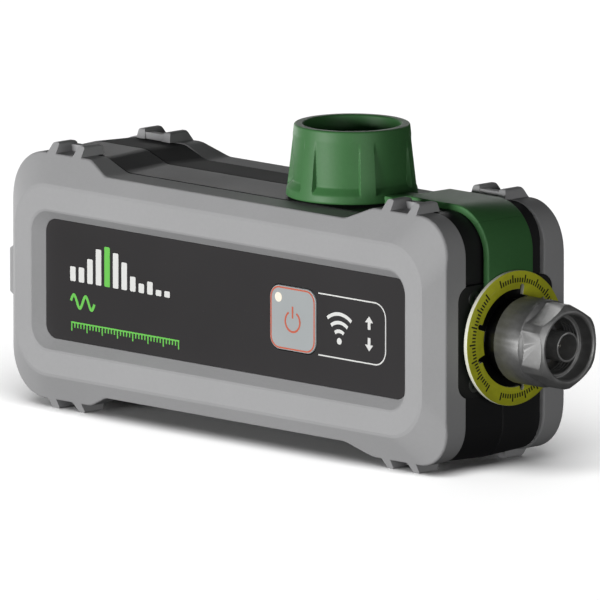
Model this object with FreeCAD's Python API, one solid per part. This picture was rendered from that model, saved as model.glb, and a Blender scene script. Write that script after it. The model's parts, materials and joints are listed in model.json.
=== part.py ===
"""Palm-size cable and antenna analyzer with one male N test port.

All sizes are in millimetres. +X runs along the case towards the test port, the label faces -Y, +Z is
up. The origin is under the middle of the case, on the surface that its rubber feet stand on.
Heights named with mid_z are measured from the middle of the case. The case is two plastic shells
that meet at the plane y = 0, each wearing a rubber bumper.
"""
import FreeCAD, Part
import math
import os

V = FreeCAD.Vector

# ---- clearances ----
running_gap = 0.3       # between pieces that move past each other
fit_gap = 0.1           # round a piece that is only put in place
spin_gap = 0.05         # radial, between a shaft and its bore
seat_overlap = 0.5      # how far fused features reach into each other

# ---- outline of the bumpers, half sizes from the middle ----
case_half_length = 82.3
waist_half_height = 30.05       # of the low middle stretch
block_rise = 3.45               # raised corner blocks, above the waist
block_length = 28.7             # from the case's end to the block's inner end
block_slope_run = 8.2           # from there down to the waist
block_slope_rounding = 6.0
case_corner_radius = 11.0
lug_rise = 2.7

# ---- bumper section, distances from the plane y = 0 ----
bumper_face_y = 26.4
bumper_lip_y = 14.5
end_chamfer_run = 5.3           # outline end to the flat face ring
waist_chamfer_run = 4.3
end_chamfer_slope = 0.83        # depth per mm of run
side_chamfer_slope = 0.70
face_corner_radius = 12.0
ring_width_end = 5.8            # flat face ring, at the ends and at the long sides
ring_width_side = 6.8
window_radius = 6.5
bevel_width = 2.67
bevel_depth = 3.4
edge_ease = 0.45                # softened edges of the face ring
edge_ease_depth = 0.28
side_rounding = 0.8             # between the chamfer and the outer sides
lip_rounding = 0.5
rib_rounding = 0.8
end_pad_rounding = 0.6

# ---- lugs: two ribs and a cross wall at each corner block, top and bottom ----
lug_centre_from_end = 18.75
rib_spacing = 9.7
rib_base_width = 3.4
rib_top_width = 2.3
lug_back_y = 12.1
lug_back_lean = 0.7
hook_gap = 0.3                  # lug hook over the plastic
cross_wall_back = 2.8           # thickness of the cross wall
cross_wall_drop = 0.8           # its top edge below the ribs
end_pad_half_height = 7.1
end_pad_tip_half_height = 5.6
end_pad_rise = 2.2
end_pad_front_y = 21.4

# ---- plastic shells ----
end_lip_proud = 0.9             # bumper ends stand proud of the shells
waist_crest = 0.75              # shells stand proud of the bumpers
block_crest = 0.4
shell_corner_radius = 10.4
draft_degrees = 2.5
seam_ease = 0.25                # chamfer along the seam between the shells
rubber_wall_end = 3.8
rubber_wall_side = 2.8
plug_corner_radius = 7.0
plug_wall = 2.5
front_wall = 2.0
band_wall = 3.6
pad_depth = 3.9                 # thickness of the end wall behind the port plate
gasket_width = 1.0
gasket_depth = 0.6
gasket_inset = 2.0

# ---- labels ----
label_thickness = 0.5

# ---- screws ----
case_screw_from_end = 18.3
case_screw_from_side = 7.85     # from the waist's outline
case_screw_shank = 1.45
case_screw_head = 2.5
case_screw_head_height = 2.0
case_screw_seat_y = 10.0
case_screw_length = 18.0
front_boss_radius = 3.4
rear_boss_radius = 4.0
head_gap = 0.25
small_screw_shank = 1.25
small_screw_head = 2.1
small_screw_head_height = 1.3
drive_recess_share = 0.45       # hex socket radius as a share of the head's
drive_recess_depth_share = 0.5

# ---- power button and what is behind it ----
button_x = 25.95
button_z = 0.4
button_half = 8.65
button_corner_radius = 3.5
button_rounding = 0.3
button_proud = 0.4
button_travel = 0.8
button_flange = 1.3
button_flange_thickness = 1.2
stem_radius = 2.0
lens_radius = 1.3
lens_offset_x = -5.3
lens_offset_z = 5.4
lens_proud = 0.1
switch_half = 3.0
switch_height = 2.6
plunger_radius = 1.75
plunger_length = 2.0
led_size = 1.6
led_height = 0.8

# ---- main board ----
standoff_height = 11.5
standoff_radius = 2.75
standoff_thread_depth = 6.0
board_thickness = 1.6
board_left_gap = 3.5            # to the end walls of the cavity
board_right_gap = 16.0
board_side_gap = 7.25
standoff_from_edge = 3.0
standoff_from_left = 8.5
standoff_from_right = 6.0
can_wall = 0.3
radio_can = (24.0, 28.0, 3.5)   # along x, along z, height
radio_can_from_right = 12.0
processor_can = (42.0, 28.0, 3.0)
can_spacing = 16.0              # between the two cans
module_size = (18.0, 16.0, 2.2)
module_from_left = 50.5
coax_socket_radius = 2.4
coax_socket_height = 2.5
coax_socket_from_right = 2.6

# ---- battery ----
battery_thickness = 18.0
battery_side_gap = 7.75         # to the long sides of the cavity
battery_left_gap = 18.0
battery_right_gap = 40.0
battery_corner_radius = 3.0
bracket_thickness = 1.0
bracket_half_width = 15.0
bracket_ear = 6.0
bracket_screw_out = 3.8
bracket_boss_radius = 3.0
bracket_boss_height = 4.0
bracket_screw_length = 5.0
battery_socket = (5.0, 6.0, 4.0)
battery_socket_z = 7.0
battery_socket_from_left = 6.5
lead_radius = 0.8
lead_spacing = 3.0
lead_bend = 4.0
lead_exit_depth = 12.5          # from the back wall

# ---- charging socket and its hinged cover on the left end ----
socket_half_height = 4.45
socket_half_thickness = 1.6
socket_length = 7.3
socket_wall = 0.3
socket_tongue_half = 3.3
socket_tongue_thickness = 0.7
socket_depth = 6.0
socket_hole_gap = 0.4
cover_half_width = 9.5
cover_half_height = 6.5
cover_proud = 0.5
cover_thickness = 1.7
cover_plug_length = 1.2
cover_plug_inset = 0.35
cover_barrel_radius = 1.0
cover_pin_radius = 0.5
cover_pin_hold = 1.5
cover_axis_inset = 0.4          # hinge axis below the end of the shells

# ---- port plate on the right end ----
plate_half_width = 17.5
plate_half_height = 15.0
plate_corner_radius = 4.0
plate_thickness = 2.8
plate_screw_offset = 11.5
plate_screw_length = 5.5
seal_gap = 0.5                  # round the connector's thread
seal_inset = 0.6                # from the hub's edge
seal_thickness = 1.0

# ---- N test connector, radii and lengths along x ----
hub_shoulder = 2.5              # hub's radius beyond the thread's
hub_length = 6.9
hub_flange_rise = 4.6           # beyond the hub
hub_flange_thickness = 0.6
body_thread_radius = 7.9
body_thread_length = 13.3
body_front_radius = 7.0
body_front_length = 5.3
dielectric_radius = 3.45
lock_nut_across_flats = 19.0
lock_nut_thickness = 3.0
outer_contact_radius = 4.0
outer_contact_recess = 0.7      # its front edge, inside the nut's mouth
pin_radius = 1.52
pin_tip_radius = 0.8
pin_tip_length = 3.0
pin_recess = 3.6                # pin tip, inside the nut's mouth
insulator_step = 1.5            # insulator beyond the body's front
gasket_ring_outer = 6.6
gasket_ring_thickness = 0.8
nut_collar_radius = 11.6
nut_across_flats = 20.6
nut_corner_radius = 11.3        # corners of the hexagon turned down
nut_collar_length = 9.0
nut_hex_length = 7.8
nut_collar_run_out = 0.9        # cone from the collar down to the flats
nut_back_wall = 2.5
nut_thread_radius = 8.0
nut_mouth_radius = 8.7
nut_mouth_depth = 4.5
nut_mouth_chamfer = 0.45
nut_hex_chamfer_radius = 9.75
nut_hex_chamfer_length = 1.1
ring_outer_radius = 7.7
ring_thickness = 1.2
ring_groove = 0.5

# ---- torque disc ----
disc_radius = 18.05
disc_thickness = 1.2
disc_hole_gap = 2.7             # round the hub
disc_tab_gap = 1.35
disc_tab_count = 3
disc_tab_half_angle = 19.0
disc_slot_width = 1.4
disc_slot_radius = 14.5

# ---- strap and protective cap ----
strap_half_width = 8.35
strap_thickness = 2.1
strap_bend_radius = 10.9        # inner
strap_bed = 0.45                # strap's underside below the plastic on the block
strap_waist_rise = 0.3          # and above it on the waist
channel_gap = 0.35
eyelet_rim = 0.2                # beyond the hub's flange
eyelet_thickness = 1.9
root_hinge_below_bend = 0.65
corner_hinge_past_bend = 1.75
cap_base_radius = 17.6
cap_rim_radius = 15.5
cap_height = 19.3
cap_bore_radius = 13.0
cap_floor = 1.8
cap_floor_gap = 0.6             # to the nut's front when fitted
cap_pocket_radius = 15.8
cap_flange = 2.0
cap_pocket_rise = 2.1
cap_rib_degrees = 14.0
cap_rib_count = 6
cap_rim_ease = 0.5
cap_rim_rounding = 0.6

# ---- coaxial jumper inside the case ----
ferrule_radius = 3.0
ferrule_length = 4.0
jumper_radius = 1.1
jumper_bend = 3.5

# ---- places worked out from the sizes above ----
block_half_height = waist_half_height + block_rise
block_start = case_half_length - block_length
waist_half_length = block_start - block_slope_run
mid_z = block_half_height + lug_rise
face_half_length = case_half_length - end_chamfer_run
face_half_height = waist_half_height - waist_chamfer_run
window_half_length = face_half_length - ring_width_end
window_half_height = face_half_height - ring_width_side
label_y = bumper_face_y - bevel_depth
shell_front_y = label_y - label_thickness
cavity_front_y = shell_front_y - front_wall
lug_x = case_half_length - lug_centre_from_end

shell_half_length = case_half_length - end_lip_proud
shell_waist = waist_half_height + waist_crest
shell_block = block_half_height + block_crest
draft_drop = bumper_lip_y * math.tan(math.radians(draft_degrees))
plug_half_length = case_half_length - rubber_wall_end
plug_half_height = waist_half_height - rubber_wall_side
cavity_half_length = plug_half_length - plug_wall
cavity_half_height = plug_half_height - plug_wall

case_screw_x = case_half_length - case_screw_from_end
case_screw_z = waist_half_height - case_screw_from_side

board_front_y = cavity_front_y - standoff_height
board_back_y = board_front_y - board_thickness
board_left = -cavity_half_length + board_left_gap
board_right = cavity_half_length - board_right_gap
board_half_height = cavity_half_height - board_side_gap

battery_left = -cavity_half_length + battery_left_gap
battery_right = cavity_half_length - battery_right_gap
battery_front_y = cavity_front_y - battery_thickness
battery_half_height = cavity_half_height - battery_side_gap

plate_face_x = case_half_length
plate_back_x = plate_face_x - plate_thickness
pad_inner_x = plate_back_x - pad_depth
hub_radius = body_thread_radius + hub_shoulder
hub_flange_radius = hub_radius + hub_flange_rise
eyelet_radius = hub_flange_radius + eyelet_rim
disc_hole_radius = hub_radius + disc_hole_gap
disc_tab_radius = hub_radius + disc_tab_gap
seal_inner_radius = body_thread_radius + seal_gap
seal_outer_radius = hub_radius - seal_inset
hub_front_x = plate_face_x + hub_length
body_back_x = plate_face_x - body_thread_length
body_front_x = hub_front_x + body_front_length
nut_back_x = hub_front_x + running_gap
nut_hex_x = nut_back_x + nut_collar_length
nut_front_x = nut_hex_x + nut_hex_length
flange_back_x = plate_face_x + eyelet_thickness
disc_back_x = flange_back_x + hub_flange_thickness

cover_axis_x = -shell_half_length + cover_axis_inset
cover_axis_y = cover_half_width - cover_barrel_radius / 2
cover_face_x = -shell_half_length - cover_proud
cover_inner_x = cover_face_x + cover_thickness
socket_y = -board_back_y + socket_half_thickness
socket_front_x = cover_inner_x + cover_plug_length + running_gap

# The strap is one moulding that bends at three places, each a hinge about +y. When all three are
# folded by a right angle, the cap covers the nut, so the last two follow from that pose.
strap_outer_x = plate_face_x + strap_thickness
strap_middle_x = plate_face_x + strap_thickness / 2
strap_block_z = shell_block - block_crest - strap_bed
strap_middle_z = strap_block_z + strap_thickness / 2
strap_waist_z = shell_waist + strap_waist_rise
bend_centre_x = plate_face_x - strap_bend_radius
bend_centre_z = strap_block_z - strap_bend_radius
knuckle_radius = strap_thickness / 2
knuckle_gap = knuckle_radius + running_gap
root_hinge = (strap_middle_x, bend_centre_z - root_hinge_below_bend)
corner_hinge = (bend_centre_x - corner_hinge_past_bend, strap_middle_z)
cap_base_fitted_x = nut_front_x + cap_floor_gap + cap_floor
top_link_length = cap_base_fitted_x - strap_middle_x + root_hinge[1] - 2 * strap_middle_z + strap_waist_z
cap_hinge = (corner_hinge[0] - top_link_length, strap_middle_z)
cap_axis_x = corner_hinge[0] + cap_hinge[0] - sum(root_hinge)


# ---- shape helpers ----
def at_x(x):
    """Puts (y, z) on the plane at this x, with z from the middle of the case."""
    return lambda y, z: V(x, y, mid_z + z)


def at_y(y):
    """Puts (x, z) on the plane at this y, with z from the middle of the case."""
    return lambda x, z: V(x, y, mid_z + z)


def at_z(z):
    """Puts (x, y) on the plane at this height from the middle of the case."""
    return lambda x, y: V(x, y, mid_z + z)


def rounded_wire(corners, place):
    """Closed wire through corners (u, v, radius), each rounded to its own radius."""
    runs = []
    for index, (u, v, radius) in enumerate(corners):
        here = V(u, v, 0)
        if radius <= 0:
            runs.append([here])
            continue
        before = V(*corners[index - 1][:2], 0) - here
        after = V(*corners[(index + 1) % len(corners)][:2], 0) - here
        before.normalize()
        after.normalize()
        half_angle = before.getAngle(after) / 2
        reach = radius / math.tan(half_angle)
        middle = before + after
        middle.normalize()
        apex = here + middle * (radius / math.sin(half_angle) - radius)
        runs.append([here + before * reach, apex, here + after * reach])
    edges = []
    for index, run in enumerate(runs):
        if len(run) == 3:
            edges.append(Part.Arc(*[place(p.x, p.y) for p in run]).toShape())
        start = run[-1]
        end = runs[(index + 1) % len(runs)][0]
        if start.distanceToPoint(end) > 1e-6:
            edges.append(Part.LineSegment(place(start.x, start.y), place(end.x, end.y)).toShape())
    return Part.Wire(edges)


def rectangle(half_u, half_v, radius=0, centre=(0, 0)):
    """Corners of a rectangle for rounded_wire."""
    signs = ((1, 1), (-1, 1), (-1, -1), (1, -1))
    return [(centre[0] + a * half_u, centre[1] + b * half_v, radius) for a, b in signs]


def prism(wire, direction):
    """Solid swept straight from a closed wire."""
    return Part.Face(wire).extrude(direction)


def loft(wires):
    """Solid with straight sides through wires of like corners."""
    return Part.makeLoft(wires, True, True)


def block(x0, x1, y0, y1, z0, z1):
    """Box between two corners, with z from the middle of the case."""
    return Part.makeBox(x1 - x0, y1 - y0, z1 - z0, V(x0, y0, mid_z + z0))


def rod_x(radius, x0, x1, y=0, z=0):
    """Cylinder along x."""
    return Part.makeCylinder(radius, x1 - x0, V(x0, y, mid_z + z), V(1, 0, 0))


def rod_y(radius, y0, y1, x=0, z=0):
    """Cylinder along y."""
    return Part.makeCylinder(radius, y1 - y0, V(x, y0, mid_z + z), V(0, 1, 0))


def tube_x(outer, inner, x0, x1):
    """Pipe along the connector's axis."""
    return rod_x(outer, x0, x1).cut(rod_x(inner, x0 - 1, x1 + 1))


def hexagon_x(across_flats, x0, x1):
    """Hexagonal bar along the connector's axis, with two flats facing -y and +y."""
    corner = across_flats / math.sqrt(3)
    points = []
    for step in range(6):
        angle = math.radians(90 + 60 * step)
        points.append((corner * math.cos(angle), corner * math.sin(angle), 0))
    return prism(rounded_wire(points, at_x(x0)), V(x1 - x0, 0, 0))


def to_rear(shape):
    """The same shape on the other side of the plane y = 0."""
    return shape.mirror(V(0, 0, 0), V(0, 1, 0))


def fused(shapes):
    """One solid from shapes that reach into each other."""
    first, *others = shapes
    return first.fuse(others).removeSplitter()


def softened(shape, radius, chosen):
    """A shape with some edges rounded, chosen by their lowest and highest corners from the middle."""
    edges = []
    for edge in shape.Edges:
        box = edge.BoundBox
        low = V(box.XMin, box.YMin, box.ZMin - mid_z)
        high = V(box.XMax, box.YMax, box.ZMax - mid_z)
        if chosen(low, high):
            edges.append(edge)
    return shape.makeFillet(radius, edges)


def case_corners(half_length, waist, block_height, radius, inset=0):
    """Outline with a low waist and raised corner blocks, set in by the same distance all round."""
    slope = math.atan2(block_height - waist, block_start - waist_half_length)
    shift = inset * math.tan(slope / 2)
    upper = [
        (half_length - inset, block_height - inset, radius - inset),
        (block_start + shift, block_height - inset, block_slope_rounding - inset),
        (waist_half_length + shift, waist - inset, block_slope_rounding + inset),
        (-waist_half_length - shift, waist - inset, block_slope_rounding + inset),
        (-block_start - shift, block_height - inset, block_slope_rounding - inset),
        (-half_length + inset, block_height - inset, radius - inset),
    ]
    return upper + [(-x, -z, r) for x, z, r in upper]


def shell_outline(inset, y):
    """Outline of the plastic shells at this y."""
    corners = case_corners(shell_half_length, shell_waist, shell_block, shell_corner_radius, inset)
    return rounded_wire(corners, at_y(y))


# ---- bumpers ----
def face_ring(depth, ease=0):
    """Rim of the chamfered bumper at this depth behind its face."""
    half_length = face_half_length + depth / end_chamfer_slope - ease
    half_height = face_half_height + depth / side_chamfer_slope - ease
    corners = rectangle(half_length, half_height, face_corner_radius - ease)
    return rounded_wire(corners, at_y(depth - bumper_face_y))


def window_ring(depth, grow=0):
    """Edge of the bevelled window at this depth behind the bumper's face."""
    inset = bevel_width * depth / bevel_depth - grow
    corners = rectangle(window_half_length - inset, window_half_height - inset, window_radius - inset)
    return rounded_wire(corners, at_y(depth - bumper_face_y))


def window_cutter():
    """Bevelled opening with softened edges, then straight through to the shells."""
    bevel = loft([
        window_ring(-edge_ease, 2 * edge_ease),
        window_ring(edge_ease_depth),
        window_ring(bevel_depth),
    ])
    corners = rectangle(
        window_half_length - bevel_width, window_half_height - bevel_width, window_radius - bevel_width
    )
    straight = prism(rounded_wire(corners, at_y(-label_y)), V(0, label_thickness + seat_overlap, 0))
    return bevel.fuse(straight)


def corner_lug():
    """Two ribs and a cross wall on the top right block, hooking back over the plastic."""
    low = block_half_height - seat_overlap
    high = block_half_height + lug_rise
    ribs = []
    for side in (-1, 1):
        x = lug_x + side * rib_spacing / 2
        outlines = []
        for z, width, lean in ((low, rib_base_width, 0), (high, rib_top_width, lug_back_lean)):
            half_depth = (bumper_face_y - lug_back_y - lean) / 2
            middle = (x, -bumper_face_y + half_depth)
            outlines.append(rounded_wire(rectangle(width / 2, half_depth, 0, middle), at_z(z)))
        rib = loft(outlines)
        ribs.append(softened(rib, rib_rounding, lambda low, high: low.z > block_half_height + lug_rise / 2))
    wall_back = -lug_back_y - lug_back_lean
    wall = block(
        lug_x - rib_spacing / 2, lug_x + rib_spacing / 2,
        -lug_back_y - cross_wall_back, wall_back, low, high - cross_wall_drop,
    )
    under_hook = block(
        lug_x - rib_spacing, lug_x + rib_spacing,
        -bumper_lip_y, 0, low - 1, shell_block + hook_gap - draft_drop,
    )
    return fused([*ribs, wall]).cut(under_hook)


def end_pad():
    """Raised pad at mid-height of the left end."""
    middle_y = -(end_pad_front_y + lug_back_y) / 2
    half_depth = (end_pad_front_y - lug_back_y) / 2
    base = rectangle(half_depth, end_pad_half_height, 0, (middle_y, 0))
    tip = rectangle(half_depth, end_pad_tip_half_height, 0, (middle_y, 0))
    pad = loft([
        rounded_wire(base, at_x(-case_half_length + side_rounding)),
        rounded_wire(base, at_x(-case_half_length)),
        rounded_wire(tip, at_x(-case_half_length - end_pad_rise)),
    ])
    return softened(pad, end_pad_rounding, lambda low, high: high.x < -case_half_length - seat_overlap)


def plug(inset, front_y, back_y):
    """Part of the front shell that fills the bumper, or its hollow when set in."""
    corners = rectangle(plug_half_length - inset, plug_half_height - inset, plug_corner_radius - inset)
    return prism(rounded_wire(corners, at_y(-front_y)), V(0, front_y - back_y, 0))


def plate_prism(gap, x0, x1):
    """Outline of the port plate, grown by a gap."""
    corners = rectangle(plate_half_width + gap, plate_half_height + gap, plate_corner_radius + gap)
    return prism(rounded_wire(corners, at_x(x0)), V(x1 - x0, 0, 0))


def front_bumper():
    """Rubber frame with a chamfered face, a bevelled window, lugs and an end pad."""
    outline = case_corners(case_half_length, waist_half_height, block_half_height, case_corner_radius)
    depth = bumper_face_y - bumper_lip_y
    chamfered = loft([face_ring(0, edge_ease), face_ring(edge_ease_depth), face_ring(bumper_face_y)])
    frame = prism(rounded_wire(outline, at_y(-bumper_face_y)), V(0, depth, 0)).common(chamfered)
    frame = frame.removeSplitter()
    side_start = edge_ease_depth - bumper_face_y
    side_end = -bumper_lip_y - edge_ease
    frame = softened(frame, side_rounding, lambda low, high: side_start < low.y and high.y < side_end)
    frame = softened(frame, lip_rounding, lambda low, high: low.y > side_end)
    lug = corner_lug().common(chamfered)
    middle = V(0, 0, mid_z)
    lugs = [lug, lug.mirror(middle, V(1, 0, 0))]
    lugs += [each.mirror(middle, V(0, 0, 1)) for each in lugs]
    frame = fused([frame, *lugs, end_pad()])
    frame = frame.cut(window_cutter())
    frame = frame.cut(plug(0, shell_front_y, bumper_lip_y - 1))
    return frame.cut(plate_prism(fit_gap, plate_back_x, plate_face_x + 1)).removeSplitter()


def rear_bumper():
    """The same frame at the back, with four holes for the case screws."""
    bumper = to_rear(front_bumper())
    for x, z in case_screw_places():
        bumper = bumper.cut(rod_y(case_screw_head + head_gap, 0, bumper_face_y + 1, x, z))
    return bumper


# ---- plastic shells ----
def case_screw_places():
    """Where the four case screws stand."""
    return [(a * case_screw_x, b * case_screw_z) for a in (-1, 1) for b in (-1, 1)]


def plain_shell():
    """Front shell without its fixings: a drafted band, and a plug that fills the bumper."""
    band = loft([
        shell_outline(seam_ease, 0),
        shell_outline(0, -seam_ease),
        shell_outline(draft_drop, -bumper_lip_y),
    ])
    shell = band.fuse(plug(0, shell_front_y, bumper_lip_y - seat_overlap))
    shallow_y = bumper_lip_y - plug_wall
    band_hollow = prism(shell_outline(band_wall, -shallow_y), V(0, shallow_y, 0))
    reach = plate_half_width + plug_wall
    port_pad = block(pad_inner_x, shell_half_length, -reach, reach, -reach, reach)
    band_hollow = band_hollow.cut(port_pad)
    return shell.cut(plug(plug_wall, cavity_front_y, 0)).cut(band_hollow)


def gasket_ring():
    """Seal in the seam between the shells, cut through where the connector passes."""
    outer = prism(shell_outline(gasket_inset, -gasket_depth), V(0, 2 * gasket_depth, 0))
    inner = prism(shell_outline(gasket_inset + gasket_width, -gasket_depth), V(0, 2 * gasket_depth, 0))
    return outer.cut(inner).cut(rod_x(body_thread_radius + fit_gap, 0, case_half_length))


def strap_channel():
    """Shallow channel in the plastic for the strap, over the right block and round its corner."""
    half = strap_half_width + channel_gap
    floor_z = strap_block_z - running_gap
    wall_x = plate_face_x - running_gap
    kept = [
        (waist_half_length, 0, 0),
        (wall_x, 0, 0),
        (wall_x, floor_z, strap_bend_radius - running_gap),
        (block_start, floor_z, 0),
        (waist_half_length, shell_waist, 0),
    ]
    kept = prism(rounded_wire(kept, at_y(-half)), V(0, 2 * half, 0))
    return block(waist_half_length, case_half_length, -half, half, 0, shell_block + 1).cut(kept)


def cover_recess():
    """Pocket in the left end for the charging cover, its hinge pin and the socket behind it."""
    floor_x = cover_axis_x + cover_barrel_radius + running_gap
    pocket = block(
        -case_half_length, floor_x,
        -cover_half_width - running_gap, cover_axis_y + cover_barrel_radius + running_gap,
        -cover_half_height - running_gap, cover_half_height + running_gap,
    )
    half_y = socket_half_thickness + socket_hole_gap
    half_z = socket_half_height + socket_hole_gap
    hole = block(
        floor_x - seat_overlap, -cavity_half_length + 1,
        socket_y - half_y, socket_y + half_y, -half_z, half_z,
    )
    return fused([pocket, hole]).fuse(hinge_pin())


def shared_cuts():
    """What is cut from both shells."""
    return [
        gasket_ring(),
        strap_channel(),
        cover_recess(),
        plate_prism(fit_gap, plate_back_x, case_half_length + 1),
        rod_x(body_thread_radius + fit_gap, pad_inner_x - 1, case_half_length),
        *plate_screw_rods(),
    ]


def finished_shell(shell, cuts):
    """A shell with its bosses, after all that is cut from it."""
    for cutter in [*shared_cuts(), *cuts]:
        shell = shell.cut(cutter)
    return shell.removeSplitter()


def front_housing():
    """Front shell, with the button's opening and blind bosses for the case screws."""
    bosses = []
    pilots = []
    for x, z in case_screw_places():
        bosses.append(rod_y(front_boss_radius, -cavity_front_y - seat_overlap, 0, x, z))
        pilots.append(rod_y(case_screw_shank, case_screw_seat_y - case_screw_length - 1, 0, x, z))
    shell = fused([plain_shell(), *bosses])
    return finished_shell(shell, [*pilots, button_opening()])


def rear_housing():
    """Rear shell, with deep counterbored bosses and the battery bracket's bosses."""
    bosses = []
    holes = []
    for x, z in case_screw_places():
        bosses.append(rod_y(rear_boss_radius, 0, cavity_front_y + seat_overlap, x, z))
        holes.append(rod_y(case_screw_shank, 0, case_screw_seat_y, x, z))
        holes.append(rod_y(case_screw_head + head_gap, case_screw_seat_y, bumper_face_y, x, z))
    for x, z in bracket_screw_places():
        bosses.append(rod_y(bracket_boss_radius, bracket_boss_y(), cavity_front_y + seat_overlap, x, z))
        holes.append(bracket_screw_rod(x, z))
    shell = fused([to_rear(plain_shell()), *bosses])
    return finished_shell(shell, holes)


def screw_y(x, z, seat_y, length, shank, head, head_height, side):
    """Socket-head screw along y. Its head points to the given side of its seat."""
    far_y = seat_y - side * length
    top_y = seat_y + side * head_height
    screw = fused([
        rod_y(shank, min(far_y, seat_y), max(far_y, seat_y), x, z),
        rod_y(head, min(seat_y, top_y), max(seat_y, top_y), x, z),
    ])
    socket_y_end = top_y - side * head_height * drive_recess_depth_share
    socket_radius = head * drive_recess_share
    points = rectangle(socket_radius, socket_radius, 0, (x, z))
    socket = prism(rounded_wire(points, at_y(top_y)), V(0, socket_y_end - top_y, 0))
    return screw.cut(socket)


def housing_screws():
    """Four screws, deep in the rear shell, that hold the case together."""
    return Part.makeCompound([
        screw_y(
            x, z, case_screw_seat_y, case_screw_length,
            case_screw_shank, case_screw_head, case_screw_head_height, 1,
        )
        for x, z in case_screw_places()
    ])


# ---- labels and button ----
def label_plate():
    """Thin plate in the front bumper's window."""
    half_length = window_half_length - bevel_width - fit_gap
    half_height = window_half_height - bevel_width - fit_gap
    corners = rectangle(half_length, half_height, window_radius - bevel_width - fit_gap)
    return prism(rounded_wire(corners, at_y(-label_y)), V(0, label_thickness, 0))


def button_prism(grow, y0, y1):
    """Square of the power button with round corners, grown by a gap."""
    half = button_half + grow
    corners = rectangle(half, half, button_corner_radius + grow, (button_x, button_z))
    return prism(rounded_wire(corners, at_y(y0)), V(0, y1 - y0, 0))


def button_opening():
    """Hole for the power button, through the label and the front wall."""
    return button_prism(running_gap, -bumper_face_y, -cavity_front_y + 0.5)


def lens_rod(radius, y0, y1):
    """Round of the status light in the button's upper corner."""
    return rod_y(radius, y0, y1, button_x + lens_offset_x, button_z + lens_offset_z)


def button_flange_y():
    """Front of the flange that keeps the button in, and its back."""
    front = -cavity_front_y + running_gap
    return front, front + button_flange_thickness


def switch_top_y():
    """Front of the switch body."""
    return -board_front_y - switch_height


def stem_end_y():
    """Back of the button's stem, clear of the switch body over the whole travel."""
    return switch_top_y() - button_travel - running_gap


def power_button():
    """Cap, flange and stem of the power button, which slides back."""
    front, back = button_flange_y()
    face_y = -label_y - button_proud
    cap = softened(button_prism(0, face_y, back), button_rounding, lambda low, high: high.y < face_y + 0.01)
    flange = button_prism(button_flange, front, back)
    stem = rod_y(stem_radius, back - seat_overlap, stem_end_y(), button_x, button_z)
    return fused([cap, flange, stem]).cut(lens_rod(lens_radius, -bumper_face_y, back + 1))


def status_light_lens():
    """Short light pipe, which moves with the button."""
    return lens_rod(lens_radius, -label_y - button_proud - lens_proud, button_flange_y()[1])


def switch_plunger():
    """Plunger of the power switch, pressed by the stem."""
    return rod_y(plunger_radius, stem_end_y(), stem_end_y() + plunger_length, button_x, button_z)


def power_switch():
    """Switch on the board, with a bore for its plunger."""
    body = prism(
        rounded_wire(rectangle(switch_half, switch_half, 0.6, (button_x, button_z)), at_y(switch_top_y())),
        V(0, switch_height, 0),
    )
    bore_end = stem_end_y() + plunger_length + button_travel + running_gap
    return body.cut(rod_y(plunger_radius + spin_gap, switch_top_y() - 1, bore_end, button_x, button_z))


def status_led():
    """Light emitter on the board, behind the lens."""
    x = button_x + lens_offset_x
    z = button_z + lens_offset_z
    half = led_size / 2
    return block(x - half, x + half, -board_front_y - led_height, -board_front_y, z - half, z + half)


# ---- main board and what is on it ----
def standoff_places():
    """Where the board is screwed down."""
    z = board_half_height - standoff_from_edge
    left = board_left + standoff_from_left
    right = board_right - standoff_from_right
    return [(x, b * z) for x in (left, right) for b in (-1, 1)]


def main_board():
    """Circuit board with four screw holes."""
    middle = (board_left + board_right) / 2
    corners = rectangle((board_right - board_left) / 2, board_half_height, 2, (middle, 0))
    board = prism(rounded_wire(corners, at_y(-board_front_y)), V(0, board_thickness, 0))
    for x, z in standoff_places():
        board = board.cut(rod_y(small_screw_shank + fit_gap, -board_front_y - 1, 0, x, z))
    return board


def board_standoffs():
    """Four round brass spacers between the front wall and the board."""
    spacers = []
    for x, z in standoff_places():
        spacer = rod_y(standoff_radius, -cavity_front_y, -board_front_y, x, z)
        thread = rod_y(small_screw_shank, -board_front_y - standoff_thread_depth, 0, x, z)
        spacers.append(spacer.cut(thread))
    return Part.makeCompound(spacers)


def board_screws():
    """Four screws that hold the board on its spacers."""
    length = board_thickness + standoff_thread_depth - 1
    return Part.makeCompound([
        screw_y(
            x, z, -board_back_y, length,
            small_screw_shank, small_screw_head, small_screw_head_height, 1,
        )
        for x, z in standoff_places()
    ])


def on_board_back(x0, size, z=0):
    """Box on the back of the board, from its left end, with (length, height, thickness)."""
    length, height, thickness = size
    return block(x0, x0 + length, -board_back_y, -board_back_y + thickness, z - height / 2, z + height / 2)


def shield_can(x0, size):
    """Folded metal lid, open towards the board."""
    length, height, thickness = size
    inner = (length - 2 * can_wall, height - 2 * can_wall, thickness - can_wall)
    return on_board_back(x0, size).cut(on_board_back(x0 + can_wall, inner))


def radio_can_left():
    """Left end of the lid over the radio circuits."""
    return board_right - radio_can_from_right - radio_can[0]


def radio_shield_can():
    """Lid over the radio circuits, beside the test port."""
    return shield_can(radio_can_left(), radio_can)


def processor_shield_can():
    """Lid over the processor."""
    return shield_can(radio_can_left() - can_spacing - processor_can[0], processor_can)


def wireless_module():
    """Radio module on the front of the board, behind the label."""
    length, height, thickness = module_size
    x0 = board_left + module_from_left
    return block(x0, x0 + length, -board_front_y - thickness, -board_front_y, -height / 2, height / 2)


def battery_socket_block():
    """Battery socket on the board, which its leads plug into."""
    return on_board_back(board_left + battery_socket_from_left, battery_socket, battery_socket_z)


def board_coax_socket():
    """Coaxial socket on the board, below the jumper's end."""
    x = board_right - coax_socket_from_right
    return rod_y(coax_socket_radius, -board_back_y, -board_back_y + coax_socket_height, x)


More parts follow.
